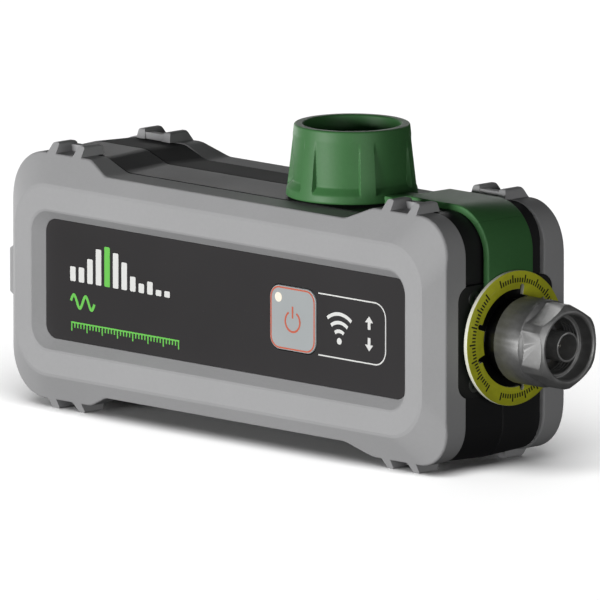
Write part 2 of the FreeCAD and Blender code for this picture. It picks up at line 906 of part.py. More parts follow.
# ---- battery ----
def battery_pack():
    """Flat battery pack on the rear wall."""
    middle = (battery_left + battery_right) / 2
    half_length = (battery_right - battery_left) / 2
    corners = rectangle(half_length, battery_half_height, battery_corner_radius, (middle, 0))
    return prism(rounded_wire(corners, at_y(battery_front_y)), V(0, battery_thickness, 0))


def bracket_x():
    """Middle of the battery bracket."""
    return (battery_left + battery_right) / 2


def bracket_boss_y():
    """Front of the bosses that the bracket's ears stand on."""
    return cavity_front_y - bracket_boss_height


def bracket_screw_places():
    """Where the bracket is screwed down."""
    return [(bracket_x(), b * (battery_half_height + bracket_screw_out)) for b in (-1, 1)]


def battery_bracket():
    """Sheet-metal strap over the battery, with two ears."""
    outer = battery_half_height + bracket_thickness
    x0 = bracket_x() - bracket_half_width
    x1 = bracket_x() + bracket_half_width
    front_y = battery_front_y - bracket_thickness
    strap = block(x0, x1, front_y, bracket_boss_y(), -outer, outer)
    room = block(x0, x1, battery_front_y, cavity_front_y, -battery_half_height, battery_half_height)
    ear_end = battery_half_height + bracket_ear + bracket_thickness
    ears = block(x0, x1, bracket_boss_y() - bracket_thickness, bracket_boss_y(), -ear_end, ear_end)
    bracket = fused([strap.cut(room), ears.cut(room)])
    for x, z in bracket_screw_places():
        bracket = bracket.cut(rod_y(small_screw_shank, 0, cavity_front_y, x, z))
    return bracket


def bracket_screw_rod(x, z):
    """Thread of a bracket screw."""
    seat_y = bracket_boss_y() - bracket_thickness
    return rod_y(small_screw_shank, seat_y, seat_y + bracket_screw_length, x, z)


def bracket_screws():
    """Two screws that hold the battery bracket."""
    return Part.makeCompound([
        screw_y(
            x, z, bracket_boss_y() - bracket_thickness, bracket_screw_length,
            small_screw_shank, small_screw_head, small_screw_head_height, -1,
        )
        for x, z in bracket_screw_places()
    ])


def bent_tube(radius, start_x, start_y, turn_x, end_y, bend, z):
    """Round wire that leaves along x, bends once and ends along -y."""
    side = math.copysign(1, turn_x - start_x)
    corner_in = V(turn_x - side * bend, start_y, mid_z + z)
    corner_out = V(turn_x, start_y - bend, mid_z + z)
    centre = V(corner_in.x, corner_out.y, mid_z + z)
    lean = bend / math.sqrt(2)
    middle = centre + V(side * lean, lean, 0)
    path = Part.Wire([
        Part.LineSegment(V(start_x, start_y, mid_z + z), corner_in).toShape(),
        Part.Arc(corner_in, middle, corner_out).toShape(),
        Part.LineSegment(corner_out, V(turn_x, end_y, mid_z + z)).toShape(),
    ])
    profile = Part.Wire(Part.makeCircle(radius, V(start_x, start_y, mid_z + z), V(1, 0, 0)))
    return path.makePipeShell([profile], True, False)


def battery_leads():
    """Two leads from the battery's end down to its socket on the board."""
    socket_x = board_left + battery_socket_from_left + battery_socket[0] / 2
    start_y = cavity_front_y - lead_exit_depth
    end_y = -board_back_y + battery_socket[2]
    heights = [battery_socket_z + side * lead_spacing / 2 for side in (-1, 1)]
    return Part.makeCompound([
        bent_tube(lead_radius, battery_left, start_y, socket_x, end_y, lead_bend, z) for z in heights
    ])


# ---- charging socket and cover ----
def charge_socket():
    """Small flat socket on the board's left edge, with a tongue in its mouth."""
    place = (socket_y, 0)
    shell = rectangle(socket_half_thickness, socket_half_height, socket_half_thickness * 0.9, place)
    inner_half = socket_half_thickness - socket_wall
    mouth = rectangle(inner_half, socket_half_height - socket_wall, inner_half * 0.9, place)
    body = prism(rounded_wire(shell, at_x(socket_front_x)), V(socket_length, 0, 0))
    body = body.cut(prism(rounded_wire(mouth, at_x(socket_front_x)), V(socket_depth, 0, 0)))
    tongue = block(
        socket_front_x + 1, socket_front_x + socket_depth + seat_overlap,
        socket_y - socket_tongue_thickness / 2, socket_y + socket_tongue_thickness / 2,
        -socket_tongue_half, socket_tongue_half,
    )
    return fused([body, tongue])


def hinge_pin():
    """Pin of the charging cover, held in the shells above and below."""
    half = cover_half_height + running_gap + cover_pin_hold
    start = V(cover_axis_x, cover_axis_y, mid_z - half)
    return Part.makeCylinder(cover_pin_radius, 2 * half, start, V(0, 0, 1))


def charge_port_cover():
    """Rubber flap with a barrel round its pin and a shallow plug over the socket's mouth."""
    flap = block(
        cover_face_x, cover_inner_x, -cover_half_width, cover_axis_y, -cover_half_height, cover_half_height
    )
    start = V(cover_axis_x, cover_axis_y, mid_z - cover_half_height)
    barrel = Part.makeCylinder(cover_barrel_radius, 2 * cover_half_height, start, V(0, 0, 1))
    half_y = socket_half_thickness - cover_plug_inset
    half_z = socket_half_height - cover_plug_inset
    stopper = block(
        cover_inner_x - seat_overlap, cover_inner_x + cover_plug_length,
        socket_y - half_y, socket_y + half_y, -half_z, half_z,
    )
    bore_radius = cover_pin_radius + spin_gap
    bore = Part.makeCylinder(bore_radius, 2 * cover_half_height + 2, start - V(0, 0, 1), V(0, 0, 1))
    return fused([flap, barrel, stopper]).cut(bore)


# ---- port plate ----
def plate_screw_places():
    """Where the port plate is screwed to the shells, hidden by the torque disc."""
    return [(a * plate_screw_offset, b * plate_screw_offset) for a in (-1, 1) for b in (-1, 1)]


def plate_screw_rods():
    """Threads of the port plate's screws."""
    return [
        rod_x(small_screw_shank, plate_face_x - plate_screw_length, plate_face_x, y, z)
        for y, z in plate_screw_places()
    ]


def plate_screw_heads():
    """Countersunk heads of the port plate's screws."""
    heads = []
    for y, z in plate_screw_places():
        start = V(plate_face_x - small_screw_head_height, y, mid_z + z)
        heads.append(Part.makeCone(
            small_screw_shank, small_screw_head, small_screw_head_height, start, V(1, 0, 0)
        ))
    return heads


def seal_ring():
    """Flat seal under the connector's shoulder."""
    return tube_x(seal_outer_radius, seal_inner_radius, plate_face_x - seal_thickness, plate_face_x)


def port_boss_plate():
    """Plate on the right end that carries the test connector."""
    plate = plate_prism(0, plate_back_x, plate_face_x)
    plate = plate.cut(rod_x(body_thread_radius + fit_gap, plate_back_x - 1, plate_face_x + 1))
    for cutter in [seal_ring(), *plate_screw_rods(), *plate_screw_heads()]:
        plate = plate.cut(cutter)
    return plate


def port_plate_screws():
    """Four countersunk screws, flush with the plate."""
    screws = []
    recess_depth = small_screw_head_height * drive_recess_depth_share
    recess = small_screw_head * drive_recess_share
    pairs = zip(plate_screw_places(), plate_screw_rods(), plate_screw_heads())
    for (y, z), shank, head in pairs:
        socket = block(
            plate_face_x - recess_depth, plate_face_x + 1, y - recess, y + recess, z - recess, z + recess
        )
        screws.append(fused([shank, head]).cut(socket))
    return Part.makeCompound(screws)


# ---- test connector ----
def hub_outline(gap):
    """Black hub with the flange that the torque disc lies on."""
    hub = rod_x(hub_radius + gap, plate_face_x, hub_front_x)
    return hub.fuse(rod_x(hub_flange_radius + gap, flange_back_x, disc_back_x))


def connector_body():
    """Fixed metal body: thread through the end wall, hub, and the nose that carries the nut."""
    body = fused([
        rod_x(body_thread_radius, body_back_x, plate_face_x + seat_overlap),
        hub_outline(0),
        rod_x(body_front_radius, hub_front_x - seat_overlap, body_front_x),
    ])
    groove_start = nut_back_x + nut_back_wall + running_gap
    groove_end = groove_start + ring_thickness
    groove = tube_x(body_front_radius + 1, body_front_radius - ring_groove, groove_start, groove_end)
    return body.cut(groove).cut(rod_x(dielectric_radius, body_back_x - 1, body_front_x + 1))


def connector_lock_nut():
    """Hexagonal nut inside the end wall."""
    nut = hexagon_x(lock_nut_across_flats, pad_inner_x - lock_nut_thickness, pad_inner_x)
    return nut.cut(rod_x(body_thread_radius, 0, case_half_length))


def insulator():
    """White plastic insulator round the centre pin."""
    return tube_x(dielectric_radius, pin_radius, body_back_x, body_front_x + insulator_step)


def centre_pin():
    """Centre pin with a narrower tip, flush with the insulator's back."""
    tip_x = nut_front_x - pin_recess
    step_x = tip_x - pin_tip_length
    point = 0.8 * pin_tip_radius
    cone = Part.makeCone(pin_tip_radius, pin_tip_radius * 0.4, point, V(tip_x - point, 0, mid_z), V(1, 0, 0))
    return fused([
        rod_x(pin_radius, body_back_x, step_x),
        rod_x(pin_tip_radius, step_x - seat_overlap, tip_x - point),
        cone,
    ])


def outer_contact():
    """Thin sleeve in the nut's mouth."""
    return tube_x(outer_contact_radius, dielectric_radius, body_front_x, nut_front_x - outer_contact_recess)


def nut_gasket():
    """Rubber ring at the bottom of the nut, round the sleeve."""
    return tube_x(gasket_ring_outer, outer_contact_radius, body_front_x, body_front_x + gasket_ring_thickness)


def nut_retaining_ring():
    """Split ring in the body's groove that keeps the nut on."""
    start = nut_back_x + nut_back_wall + running_gap
    ring = tube_x(ring_outer_radius, body_front_radius - ring_groove, start, start + ring_thickness)
    return ring.cut(block(start - 1, start + 2, -0.8, 0.8, -body_thread_radius - 1, 0))


def coupling_nut():
    """Nut with a round collar, a chamfered hexagon and a stepped mouth."""
    collar = rod_x(nut_collar_radius, nut_back_x, nut_hex_x)
    hexagon = hexagon_x(nut_across_flats, nut_hex_x - seat_overlap, nut_front_x)
    barrel_end = nut_front_x - nut_hex_chamfer_length
    ease = Part.makeCone(
        nut_corner_radius, nut_hex_chamfer_radius, nut_hex_chamfer_length,
        V(barrel_end, 0, mid_z), V(1, 0, 0),
    )
    keep = fused([rod_x(nut_corner_radius, nut_hex_x - seat_overlap, barrel_end), ease])
    run_out = Part.makeCone(
        nut_collar_radius, nut_across_flats / 2, nut_collar_run_out, V(nut_hex_x, 0, mid_z), V(1, 0, 0)
    )
    nut = fused([collar, run_out, hexagon.common(keep)])
    mouth_start = nut_front_x - nut_mouth_depth
    bores = [
        rod_x(body_front_radius + spin_gap, nut_back_x - 1, nut_front_x),
        rod_x(nut_thread_radius, nut_back_x + nut_back_wall, nut_front_x),
        rod_x(nut_mouth_radius, mouth_start, nut_front_x + 1),
        Part.makeCone(
            nut_mouth_radius, nut_mouth_radius + nut_mouth_chamfer, nut_mouth_chamfer,
            V(nut_front_x - nut_mouth_chamfer, 0, mid_z), V(1, 0, 0),
        ),
    ]
    for bore in bores:
        nut = nut.cut(bore)
    return nut.removeSplitter()


def torque_disc():
    """Flat ring round the hub, with three inward tabs between pairs of slots."""
    front_x = disc_back_x + disc_thickness
    disc = tube_x(disc_radius, disc_hole_radius, disc_back_x, front_x)
    pieces = [disc]
    slots = []
    for index in range(disc_tab_count):
        tab = (index + 0.5) * 360 / disc_tab_count
        # A part cylinder along x starts at +z, a quarter turn past +y.
        tab_ring = Part.makeCylinder(
            disc_hole_radius + seat_overlap, disc_thickness, V(disc_back_x, 0, mid_z), V(1, 0, 0),
            2 * disc_tab_half_angle,
        )
        tab_ring = tab_ring.cut(rod_x(disc_tab_radius, disc_back_x - 1, front_x + 1))
        tab_ring.rotate(V(0, 0, mid_z), V(1, 0, 0), tab - disc_tab_half_angle - 90)
        pieces.append(tab_ring)
        for side in (-1, 1):
            slots.append(disc_slot(tab + side * disc_tab_half_angle))
    disc = fused(pieces)
    for slot in slots:
        disc = disc.cut(slot)
    return disc.removeSplitter()


def disc_slot(degrees):
    """Radial slot with a round end."""
    reach = disc_slot_radius - disc_slot_width / 2
    thickness = disc_thickness + 2
    slot = Part.makeBox(thickness, reach, disc_slot_width, V(disc_back_x - 1, 0, mid_z - disc_slot_width / 2))
    end = Part.makeCylinder(disc_slot_width / 2, thickness, V(disc_back_x - 1, reach, mid_z), V(1, 0, 0))
    slot = slot.fuse(end)
    slot.rotate(V(0, 0, mid_z), V(1, 0, 0), degrees)
    return slot


# ---- strap and cap ----
def strap_run():
    """The whole strap from the eyelet to the cap, as one band of even thickness."""
    slope = math.atan2(strap_block_z - strap_waist_z, block_start - waist_half_length)
    shift = strap_thickness * math.tan(slope / 2)
    cap_edge = cap_axis_x + cap_pocket_radius
    low = 0
    corners = [
        (strap_outer_x, low, 0),
        (strap_outer_x, strap_block_z + strap_thickness, strap_bend_radius + strap_thickness),
        (block_start - shift, strap_block_z + strap_thickness, 0),
        (waist_half_length - shift, strap_waist_z + strap_thickness, 0),
        (cap_edge, strap_waist_z + strap_thickness, 0),
        (cap_edge, strap_waist_z, 0),
        (waist_half_length, strap_waist_z, 0),
        (block_start, strap_block_z, 0),
        (plate_face_x, strap_block_z, strap_bend_radius),
        (plate_face_x, low, 0),
    ]
    return prism(rounded_wire(corners, at_y(-strap_half_width)), V(0, 2 * strap_half_width, 0))


def strap_between(x0, x1, z0, z1):
    """The stretch of the strap inside these limits."""
    return strap_run().common(block(x0, x1, -strap_half_width, strap_half_width, z0, z1))


def knuckle(hinge):
    """Round end of a strap link, about its bending line."""
    return rod_y(knuckle_radius, -strap_half_width, strap_half_width, *hinge)


def strap_eyelet():
    """Ring round the hub, under its flange, with the strap's fixed end."""
    ring = rod_x(eyelet_radius, plate_face_x, flange_back_x)
    tail = strap_between(0, strap_outer_x, 0, root_hinge[1] - knuckle_gap)
    return fused([ring, tail]).cut(hub_outline(fit_gap))


def strap_corner_link():
    """The bend over the case's top corner."""
    bend = strap_between(corner_hinge[0] + knuckle_gap, strap_outer_x, root_hinge[1], shell_block * 2)
    return fused([bend, knuckle(root_hinge)])


def strap_top_link():
    """Short link on top of the corner block."""
    link = strap_between(cap_hinge[0] + knuckle_gap, corner_hinge[0], 0, shell_block * 2)
    return fused([link, knuckle(corner_hinge)])


def cap_pocket():
    """Cutter for one hollow between two ribs of the cap, before it is turned to its place."""
    base_z = strap_waist_z + cap_flange
    outside = cap_base_radius + 2
    drop = (outside - cap_pocket_radius) * cap_pocket_rise / (cap_base_radius - cap_pocket_radius)
    top_z = strap_waist_z + cap_height + 1
    points = [
        (cap_pocket_radius, base_z + cap_pocket_rise),
        (outside, base_z + cap_pocket_rise - drop),
        (outside, top_z),
        (cap_pocket_radius, top_z),
    ]
    wire = Part.makePolygon([V(cap_axis_x + r, 0, mid_z + z) for r, z in [*points, points[0]]])
    width = 360 / cap_rib_count - cap_rib_degrees
    return Part.Face(wire).revolve(V(cap_axis_x, 0, 0), V(0, 0, 1), width)


def protective_cap():
    """Ribbed cup, mouth up, with its end of the strap."""
    base = V(cap_axis_x, 0, mid_z + strap_waist_z)
    rim_z = mid_z + strap_waist_z + cap_height
    cup = Part.makeCone(cap_base_radius, cap_rim_radius, cap_height, base)
    for index in range(cap_rib_count):
        pocket = cap_pocket()
        pocket.rotate(base, V(0, 0, 1), (index + 0.5) * 360 / cap_rib_count + cap_rib_degrees / 2)
        cup = cup.cut(pocket)
    top_z = strap_waist_z + cap_height
    cup = softened(cup, cap_rim_rounding, lambda low, high: low.z > top_z - cap_rim_ease)
    end = strap_between(0, cap_hinge[0], 0, shell_block * 2)
    cup = fused([cup, end, knuckle(cap_hinge)])
    bore = Part.makeCylinder(cap_bore_radius, cap_height, base + V(0, 0, cap_floor))
    ease = Part.makeCone(
        cap_bore_radius, cap_bore_radius + 2 * cap_rim_ease, 2 * cap_rim_ease,
        V(cap_axis_x, 0, rim_z - cap_rim_ease),
    )
    return cup.cut(bore).cut(ease).removeSplitter()


# ---- coaxial jumper ----
def coax_ferrule():
    """Plug of the jumper on the back of the test connector."""
    return rod_x(ferrule_radius, body_back_x - ferrule_length, body_back_x)


def coax_jumper():
    """Semi-rigid cable from the test connector down to the board."""
    socket_x = board_right - coax_socket_from_right
    end_y = -board_back_y + coax_socket_height
    return bent_tube(jumper_radius, body_back_x - ferrule_length, 0, socket_x, end_y, jumper_bend, 0)


pieces = {
    "front_bumper": front_bumper,
    "rear_bumper": rear_bumper,
    "front_housing": front_housing,
    "rear_housing": rear_housing,
    "seam_gasket": gasket_ring,
    "housing_screws": housing_screws,
    "front_label": lambda: label_plate().cut(button_opening()),
    "rear_label": lambda: to_rear(label_plate()),
    "power_button": power_button,
    "status_light_lens": status_light_lens,
    "switch_plunger": switch_plunger,
    "power_switch": power_switch,
    "status_led": status_led,
    "main_board": main_board,
    "board_standoffs": board_standoffs,
    "board_screws": board_screws,
    "radio_shield_can": radio_shield_can,
    "processor_shield_can": processor_shield_can,
    "wireless_module": wireless_module,
    "board_coax_socket": board_coax_socket,
    "coax_jumper": coax_jumper,
    "coax_ferrule": coax_ferrule,
    "battery_pack": battery_pack,
    "battery_bracket": battery_bracket,
    "bracket_screws": bracket_screws,
    "battery_socket": battery_socket_block,
    "battery_leads": battery_leads,
    "charge_socket": charge_socket,
    "charge_port_cover": charge_port_cover,
    "cover_hinge_pin": hinge_pin,
    "port_boss_plate": port_boss_plate,
    "port_plate_screws": port_plate_screws,
    "port_seal": seal_ring,
    "connector_body": connector_body,
    "connector_lock_nut": connector_lock_nut,
    "connector_insulator": insulator,
    "centre_pin": centre_pin,
    "outer_contact": outer_contact,
    "nut_gasket": nut_gasket,
    "nut_retaining_ring": nut_retaining_ring,
    "coupling_nut": coupling_nut,
    "torque_disc": torque_disc,
    "strap_eyelet": strap_eyelet,
    "strap_corner_link": strap_corner_link,
    "strap_top_link": strap_top_link,
    "protective_cap": protective_cap,
}

os.makedirs("parts", exist_ok=True)
for name, make in pieces.items():
    shape = make()
    shape.exportStep(f"parts/{name}.step")
    print(name, len(shape.Solids), round(shape.Volume, 1), shape.isValid())
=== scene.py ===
"""Looks of the palm-size cable and antenna analyzer.

Laid out as an add-on and run as a script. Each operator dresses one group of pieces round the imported
frame, and a panel in the 3D view's sidebar lists them. Lengths are in metres, in the frame's own axes:
+X runs along the case towards the test port, the label faces -Y, +Z is up.
"""
from functools import cache
import json
import math

import bmesh
import bpy
from bpy.props import FloatProperty, FloatVectorProperty, IntProperty, PointerProperty
from mathutils import Matrix, Vector

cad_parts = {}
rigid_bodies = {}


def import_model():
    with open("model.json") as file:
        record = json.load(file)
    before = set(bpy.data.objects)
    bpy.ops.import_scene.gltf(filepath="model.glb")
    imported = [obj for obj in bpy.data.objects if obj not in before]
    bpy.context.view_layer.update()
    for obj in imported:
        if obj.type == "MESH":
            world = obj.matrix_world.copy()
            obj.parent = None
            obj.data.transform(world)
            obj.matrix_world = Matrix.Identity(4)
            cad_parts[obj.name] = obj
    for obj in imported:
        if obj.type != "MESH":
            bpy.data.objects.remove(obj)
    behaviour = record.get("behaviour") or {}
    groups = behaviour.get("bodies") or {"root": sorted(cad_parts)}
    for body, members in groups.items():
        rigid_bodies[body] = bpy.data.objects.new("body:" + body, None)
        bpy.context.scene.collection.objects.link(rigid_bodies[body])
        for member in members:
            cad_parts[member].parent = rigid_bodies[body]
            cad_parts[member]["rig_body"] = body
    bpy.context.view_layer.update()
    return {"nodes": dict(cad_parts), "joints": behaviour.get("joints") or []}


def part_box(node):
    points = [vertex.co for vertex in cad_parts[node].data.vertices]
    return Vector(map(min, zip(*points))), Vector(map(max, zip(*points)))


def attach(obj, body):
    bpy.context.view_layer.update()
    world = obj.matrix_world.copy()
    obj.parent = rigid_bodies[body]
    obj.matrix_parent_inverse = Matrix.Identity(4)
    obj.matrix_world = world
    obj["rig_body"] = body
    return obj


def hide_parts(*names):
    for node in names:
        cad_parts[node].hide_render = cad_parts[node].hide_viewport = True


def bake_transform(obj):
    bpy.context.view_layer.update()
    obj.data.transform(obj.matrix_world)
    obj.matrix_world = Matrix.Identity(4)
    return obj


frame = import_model()

bl_info = {
    "name": "Antenna analyzer looks",
    "version": (1, 0, 0),
    "blender": (4, 5, 0),
    "location": "3D View > Sidebar > Analyzer",
    "description": "Prints, strap, cap, finishes and stage of a palm-size antenna analyzer",
    "category": "Object",
}

MM = 0.001


# ---- places, read from the frame ----
label_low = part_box("front_label")[0]
label_front = label_low.y
button_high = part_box("power_button")[1]
lens_low, lens_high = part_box("status_light_lens")
nut_low, nut_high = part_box("coupling_nut")
disc_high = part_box("torque_disc")[1]
eyelet_low, eyelet_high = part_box("strap_eyelet")
corner_low, corner_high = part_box("strap_corner_link")
cap_low, cap_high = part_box("protective_cap")
gasket_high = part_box("nut_gasket")[1]
axis_z = (nut_low.z + nut_high.z) / 2
hinges = {joint["name"]: Vector(joint["pos_m"]) for joint in frame["joints"] if "pos_m" in joint}


def direction(azimuth, elevation):
    """Unit vector at an azimuth from -Y towards +X and an elevation, both in degrees."""
    turn, rise = math.radians(azimuth), math.radians(elevation)
    return Vector((math.sin(turn) * math.cos(rise), -math.cos(turn) * math.cos(rise), math.sin(rise)))


# ---- sizes and colours that a user would change ----
def length(name, description, default):
    """A size in metres."""
    return FloatProperty(
        name=name, description=description, default=default, min=0, unit="LENGTH", precision=5
    )


def number(name, description, default, least=1):
    """A whole number."""
    return IntProperty(name=name, description=description, default=default, min=least)


def colour(name, description, default):
    """A linear colour."""
    return FloatVectorProperty(
        name=name, description=description, default=default, size=3, min=0, max=1, subtype="COLOR"
    )


class AnalyzerPrintSizes(bpy.types.PropertyGroup):
    """Sizes of what is printed on the label, the button and the torque disc."""
    film: length("Print film", "Thickness of the printed film", 0.05 * MM)
    box_line: length("Box line", "Line width of the box beside the button", 0.36 * MM)
    button_line: length("Button line", "Line width of the button's outline", 0.42 * MM)
    symbol_line: length("Symbol line", "Line width of the power symbol", 0.55 * MM)
    symbol_radius: length("Symbol radius", "Middle radius of the power symbol's ring", 2.75 * MM)
    bar_width: length("Bar width", "Width of one level bar", 2.1 * MM)
    bar_pitch: length("Bar pitch", "Distance between level bars", 3.28 * MM)
    bar_height: length("Bar height", "Height of the tallest level bar", 10.8 * MM)
    bar_count: number("Bars", "Number of level bars", 12)
    tick_width: length("Tick width", "Width of one scale mark", 0.42 * MM)
    tick_height: length("Tick height", "Height of a short scale mark", 1.2 * MM)
    long_tick: FloatProperty(
        name="Long tick", description="Long marks as a share of short ones", default=1.75
    )
    scale_ticks: number("Scale ticks", "Marks of the label's scale", 36, least=2)
    disc_ticks: number("Disc ticks", "Marks in each arc of the disc", 31, least=2)


class AnalyzerRubberSizes(bpy.types.PropertyGroup):
    """Sizes of the strap and the protective cap."""
    strap_thickness: length("Strap thickness", "Thickness of the strap", 2.1 * MM)
    eyelet_thickness: length("Eyelet thickness", "Thickness of the ring round the hub", 1.9 * MM)
    strap_bend: length("Strap bend", "Inner radius of the strap's bend round the case's corner", 10.9 * MM)
    strap_rounding: length("Strap rounding", "Rounding of the strap's edges", 0.35 * MM)
    bend_reach: length("Bend reach", "Half the stretch of strap that bends at one hinge", 3.2 * MM)
    cap_base: length("Cap base", "Radius of the cap's base", 17.6 * MM)
    cap_rim: length("Cap rim", "Radius of the cap's rim", 15.5 * MM)
    cap_bore: length("Cap bore", "Radius of the cap's hollow", 13.0 * MM)
    cap_floor: length("Cap floor", "Thickness of the cap's floor", 1.8 * MM)
    pocket_radius: length(
        "Pocket radius", "Distance of the hollows between the ribs from the axis", 15.75 * MM
    )
    pocket_start: length("Pocket start", "Height at which the hollows start", 2.0 * MM)
    pocket_rise: length("Pocket rise", "Height over which the hollows run in", 2.1 * MM)
    rib_count: number("Ribs", "Number of ribs", 6)
    rib_degrees: FloatProperty(name="Rib width", description="Width of a rib in degrees", default=14.0)


class AnalyzerMetalSizes(bpy.types.PropertyGroup):
    """Sizes of the coupling nut's thread."""
    thread_pitch: length("Thread pitch", "Distance between turns", 1.06 * MM)
    thread_radius: length("Thread radius", "Radius of the bore that carries the thread", 8.0 * MM)
    thread_depth: length("Thread depth", "Height of the thread's ridge", 0.55 * MM)
    mouth_depth: length("Mouth depth", "Depth of the plain mouth before the thread", 4.5 * MM)
    edge_ease: length("Edge ease", "Softened edges of the metal pieces", 0.14 * MM)


class AnalyzerColours(bpy.types.PropertyGroup):
    """Main colours."""
    bumper: colour("Bumper", "Grey rubber of the bumpers", (0.40, 0.40, 0.405))
    case: colour("Case", "Black plastic of the shells", (0.012, 0.012, 0.013))
    strap: colour("Strap", "Green rubber of the strap and cap", (0.060, 0.195, 0.062))
    label: colour("Label", "Charcoal film of the labels", (0.029, 0.027, 0.028))
    white_print: colour("White print", "White ink", (0.82, 0.82, 0.80))
    green_print: colour("Green print", "Green ink", (0.16, 0.62, 0.09))
    button: colour("Button", "Pale grey film of the power button", (0.43, 0.455, 0.46))
    button_print: colour("Button print", "Red-orange ink of the power button", (0.62, 0.13, 0.07))
    disc: colour("Disc", "Yellow-green face of the torque disc", (0.68, 0.70, 0.034))
    disc_print: colour("Disc print", "Black ink of the torque disc", (0.02, 0.02, 0.01))
    nickel: colour("Nickel", "Nickel plating", (0.185, 0.185, 0.183))
    floor: colour("Floor", "Pale floor", (0.90, 0.90, 0.90))


# ---- node trees ----
def math_operator(operation):
    """An operator of Socket and its reflected form. Both add one Math node."""
    def plain(self, value):
        return self.graph.math(operation, self, value)

    def reflected(self, value):
        return self.graph.math(operation, value, self)

    return plain, reflected


class Socket:
    """An output of a node. Arithmetic on it adds Math nodes."""
    __add__, __radd__ = math_operator("ADD")
    __sub__, __rsub__ = math_operator("SUBTRACT")
    __mul__, __rmul__ = math_operator("MULTIPLY")
    __truediv__, __rtruediv__ = math_operator("DIVIDE")
    __mod__, __rmod__ = math_operator("FLOORED_MODULO")
    __gt__, __lt__ = math_operator("GREATER_THAN")

    def __init__(self, graph, socket):
        self.graph = graph
        self.socket = socket

    def other(self, name):
        """Another output of the same node."""
        return Socket(self.graph, self.socket.node.outputs[name])


class Graph:
    """A shader or geometry tree being written."""

    def __init__(self, tree):
        self.tree = tree

    def node(self, kind, settings=None, values=(), output=0, **sockets):
        """Adds a node: its settings are set first, then its inputs' values or links. Gives one output.

        Inputs go by their order in values, or by identifier or name with _ for a space.
        """
        node = self.tree.nodes.new(kind)
        for name, value in (settings or {}).items():
            setattr(node, name, value)
        self.fill(node, {**dict(enumerate(values)), **sockets})
        return Socket(self, self.pick(node.outputs, output)) if node.outputs else node

    def pick(self, sockets, key):
        """The socket of a node with this index, identifier or name."""
        if isinstance(key, int):
            return sockets[key]
        spaced = key.replace("_", " ")
        return next((s for s in sockets if s.identifier in (key, spaced)), None) or sockets[spaced]

    def fill(self, node, sockets):
        """Sets or links inputs of a node."""
        for key, value in sockets.items():
            socket = self.pick(node.inputs, key)
            if isinstance(value, Socket):
                self.tree.links.new(value.socket, socket)
            else:
                socket.default_value = (*value, 1) if socket.type == "RGBA" else value

    def math(self, operation, *values):
        """One Math node."""
        return self.node("ShaderNodeMath", {"operation": operation}, values)

    def vector(self, operation, *values, **sockets):
        """One Vector Math node."""
        return self.node("ShaderNodeVectorMath", {"operation": operation}, values, **sockets)

    def step(self, value, low, high):
        """Smooth step from 0 at low to 1 at high."""
        settings = {"interpolation_type": "SMOOTHSTEP"}
        return self.node("ShaderNodeMapRange", settings, Value=value, From_Min=low, From_Max=high)

    def mix(self, factor, first, second):
        """Mix of two colours."""
        return self.node(
            "ShaderNodeMix", {"data_type": "RGBA"}, output="Result_Color",
            Factor_Float=factor, A_Color=first, B_Color=second,
        )

    def join(self, x=0.0, y=0.0, z=0.0):
        """A vector of x, y and z."""
        return self.node("ShaderNodeCombineXYZ", {}, (x, y, z))

    def split(self, place):
        """The x, y and z of a place."""
        x = self.node("ShaderNodeSeparateXYZ", {}, (place,))
        return x, x.other("Y"), x.other("Z")


class Finish(Graph):
    """A material with one Principled shader."""

    def __init__(self, **constants):
        self.material = bpy.data.materials.new("finish")
        self.material.use_nodes = True
        super().__init__(self.material.node_tree)
        self.shader = self.tree.nodes["Principled BSDF"]
        self.place = self.node("ShaderNodeTexCoord", output="Object")
        self.set(**constants)

    def set(self, **sockets):
        """Sets or links the shader's inputs."""
        self.fill(self.shader, sockets)
        return self

    def noise(self, size, detail=2.0, roughness=0.5, place=None):
        """Noise from 0 to 1 whose grains are about this size in metres."""
        return self.node(
            "ShaderNodeTexNoise", Vector=place or self.place, Scale=1 / size, Detail=detail,
            Roughness=roughness,
        )

    def bump(self, height, distance, strength=1.0, **sockets):
        """Bump from a height of 0 to 1 that stands for this distance."""
        return self.node("ShaderNodeBump", Height=height, Distance=distance, Strength=strength, **sockets)

    def rounded(self, radius):
        """Normal with edges softened over this radius, and 0 to 1 towards the edges."""
        soft = self.node("ShaderNodeBevel", {"samples": 4}, Radius=radius)
        plain = self.node("ShaderNodeNewGeometry", output="Normal")
        edge = 1 - self.vector("DOT_PRODUCT", soft, plain, output="Value")
        return soft, self.step(edge, 0.01, 0.25)

    def off_axis(self):
        """Distance from the connector's axis, and the place's x, y and z."""
        x, y, z = self.split(self.place)
        radius = self.math("SQRT", y * y + (z - axis_z) * (z - axis_z))
        return radius, x, y, z


@cache
def finish(slot):
    """The finish of a material slot or an ink, made once."""
    material = FINISH_MAKERS[slot](bpy.context.scene.analyzer_colours).material
    material.name = slot + "_finish"
    return material


def toned(shade, factor):
    """A colour made darker or lighter by a factor."""
    return tuple(min(1, part * factor) for part in shade)


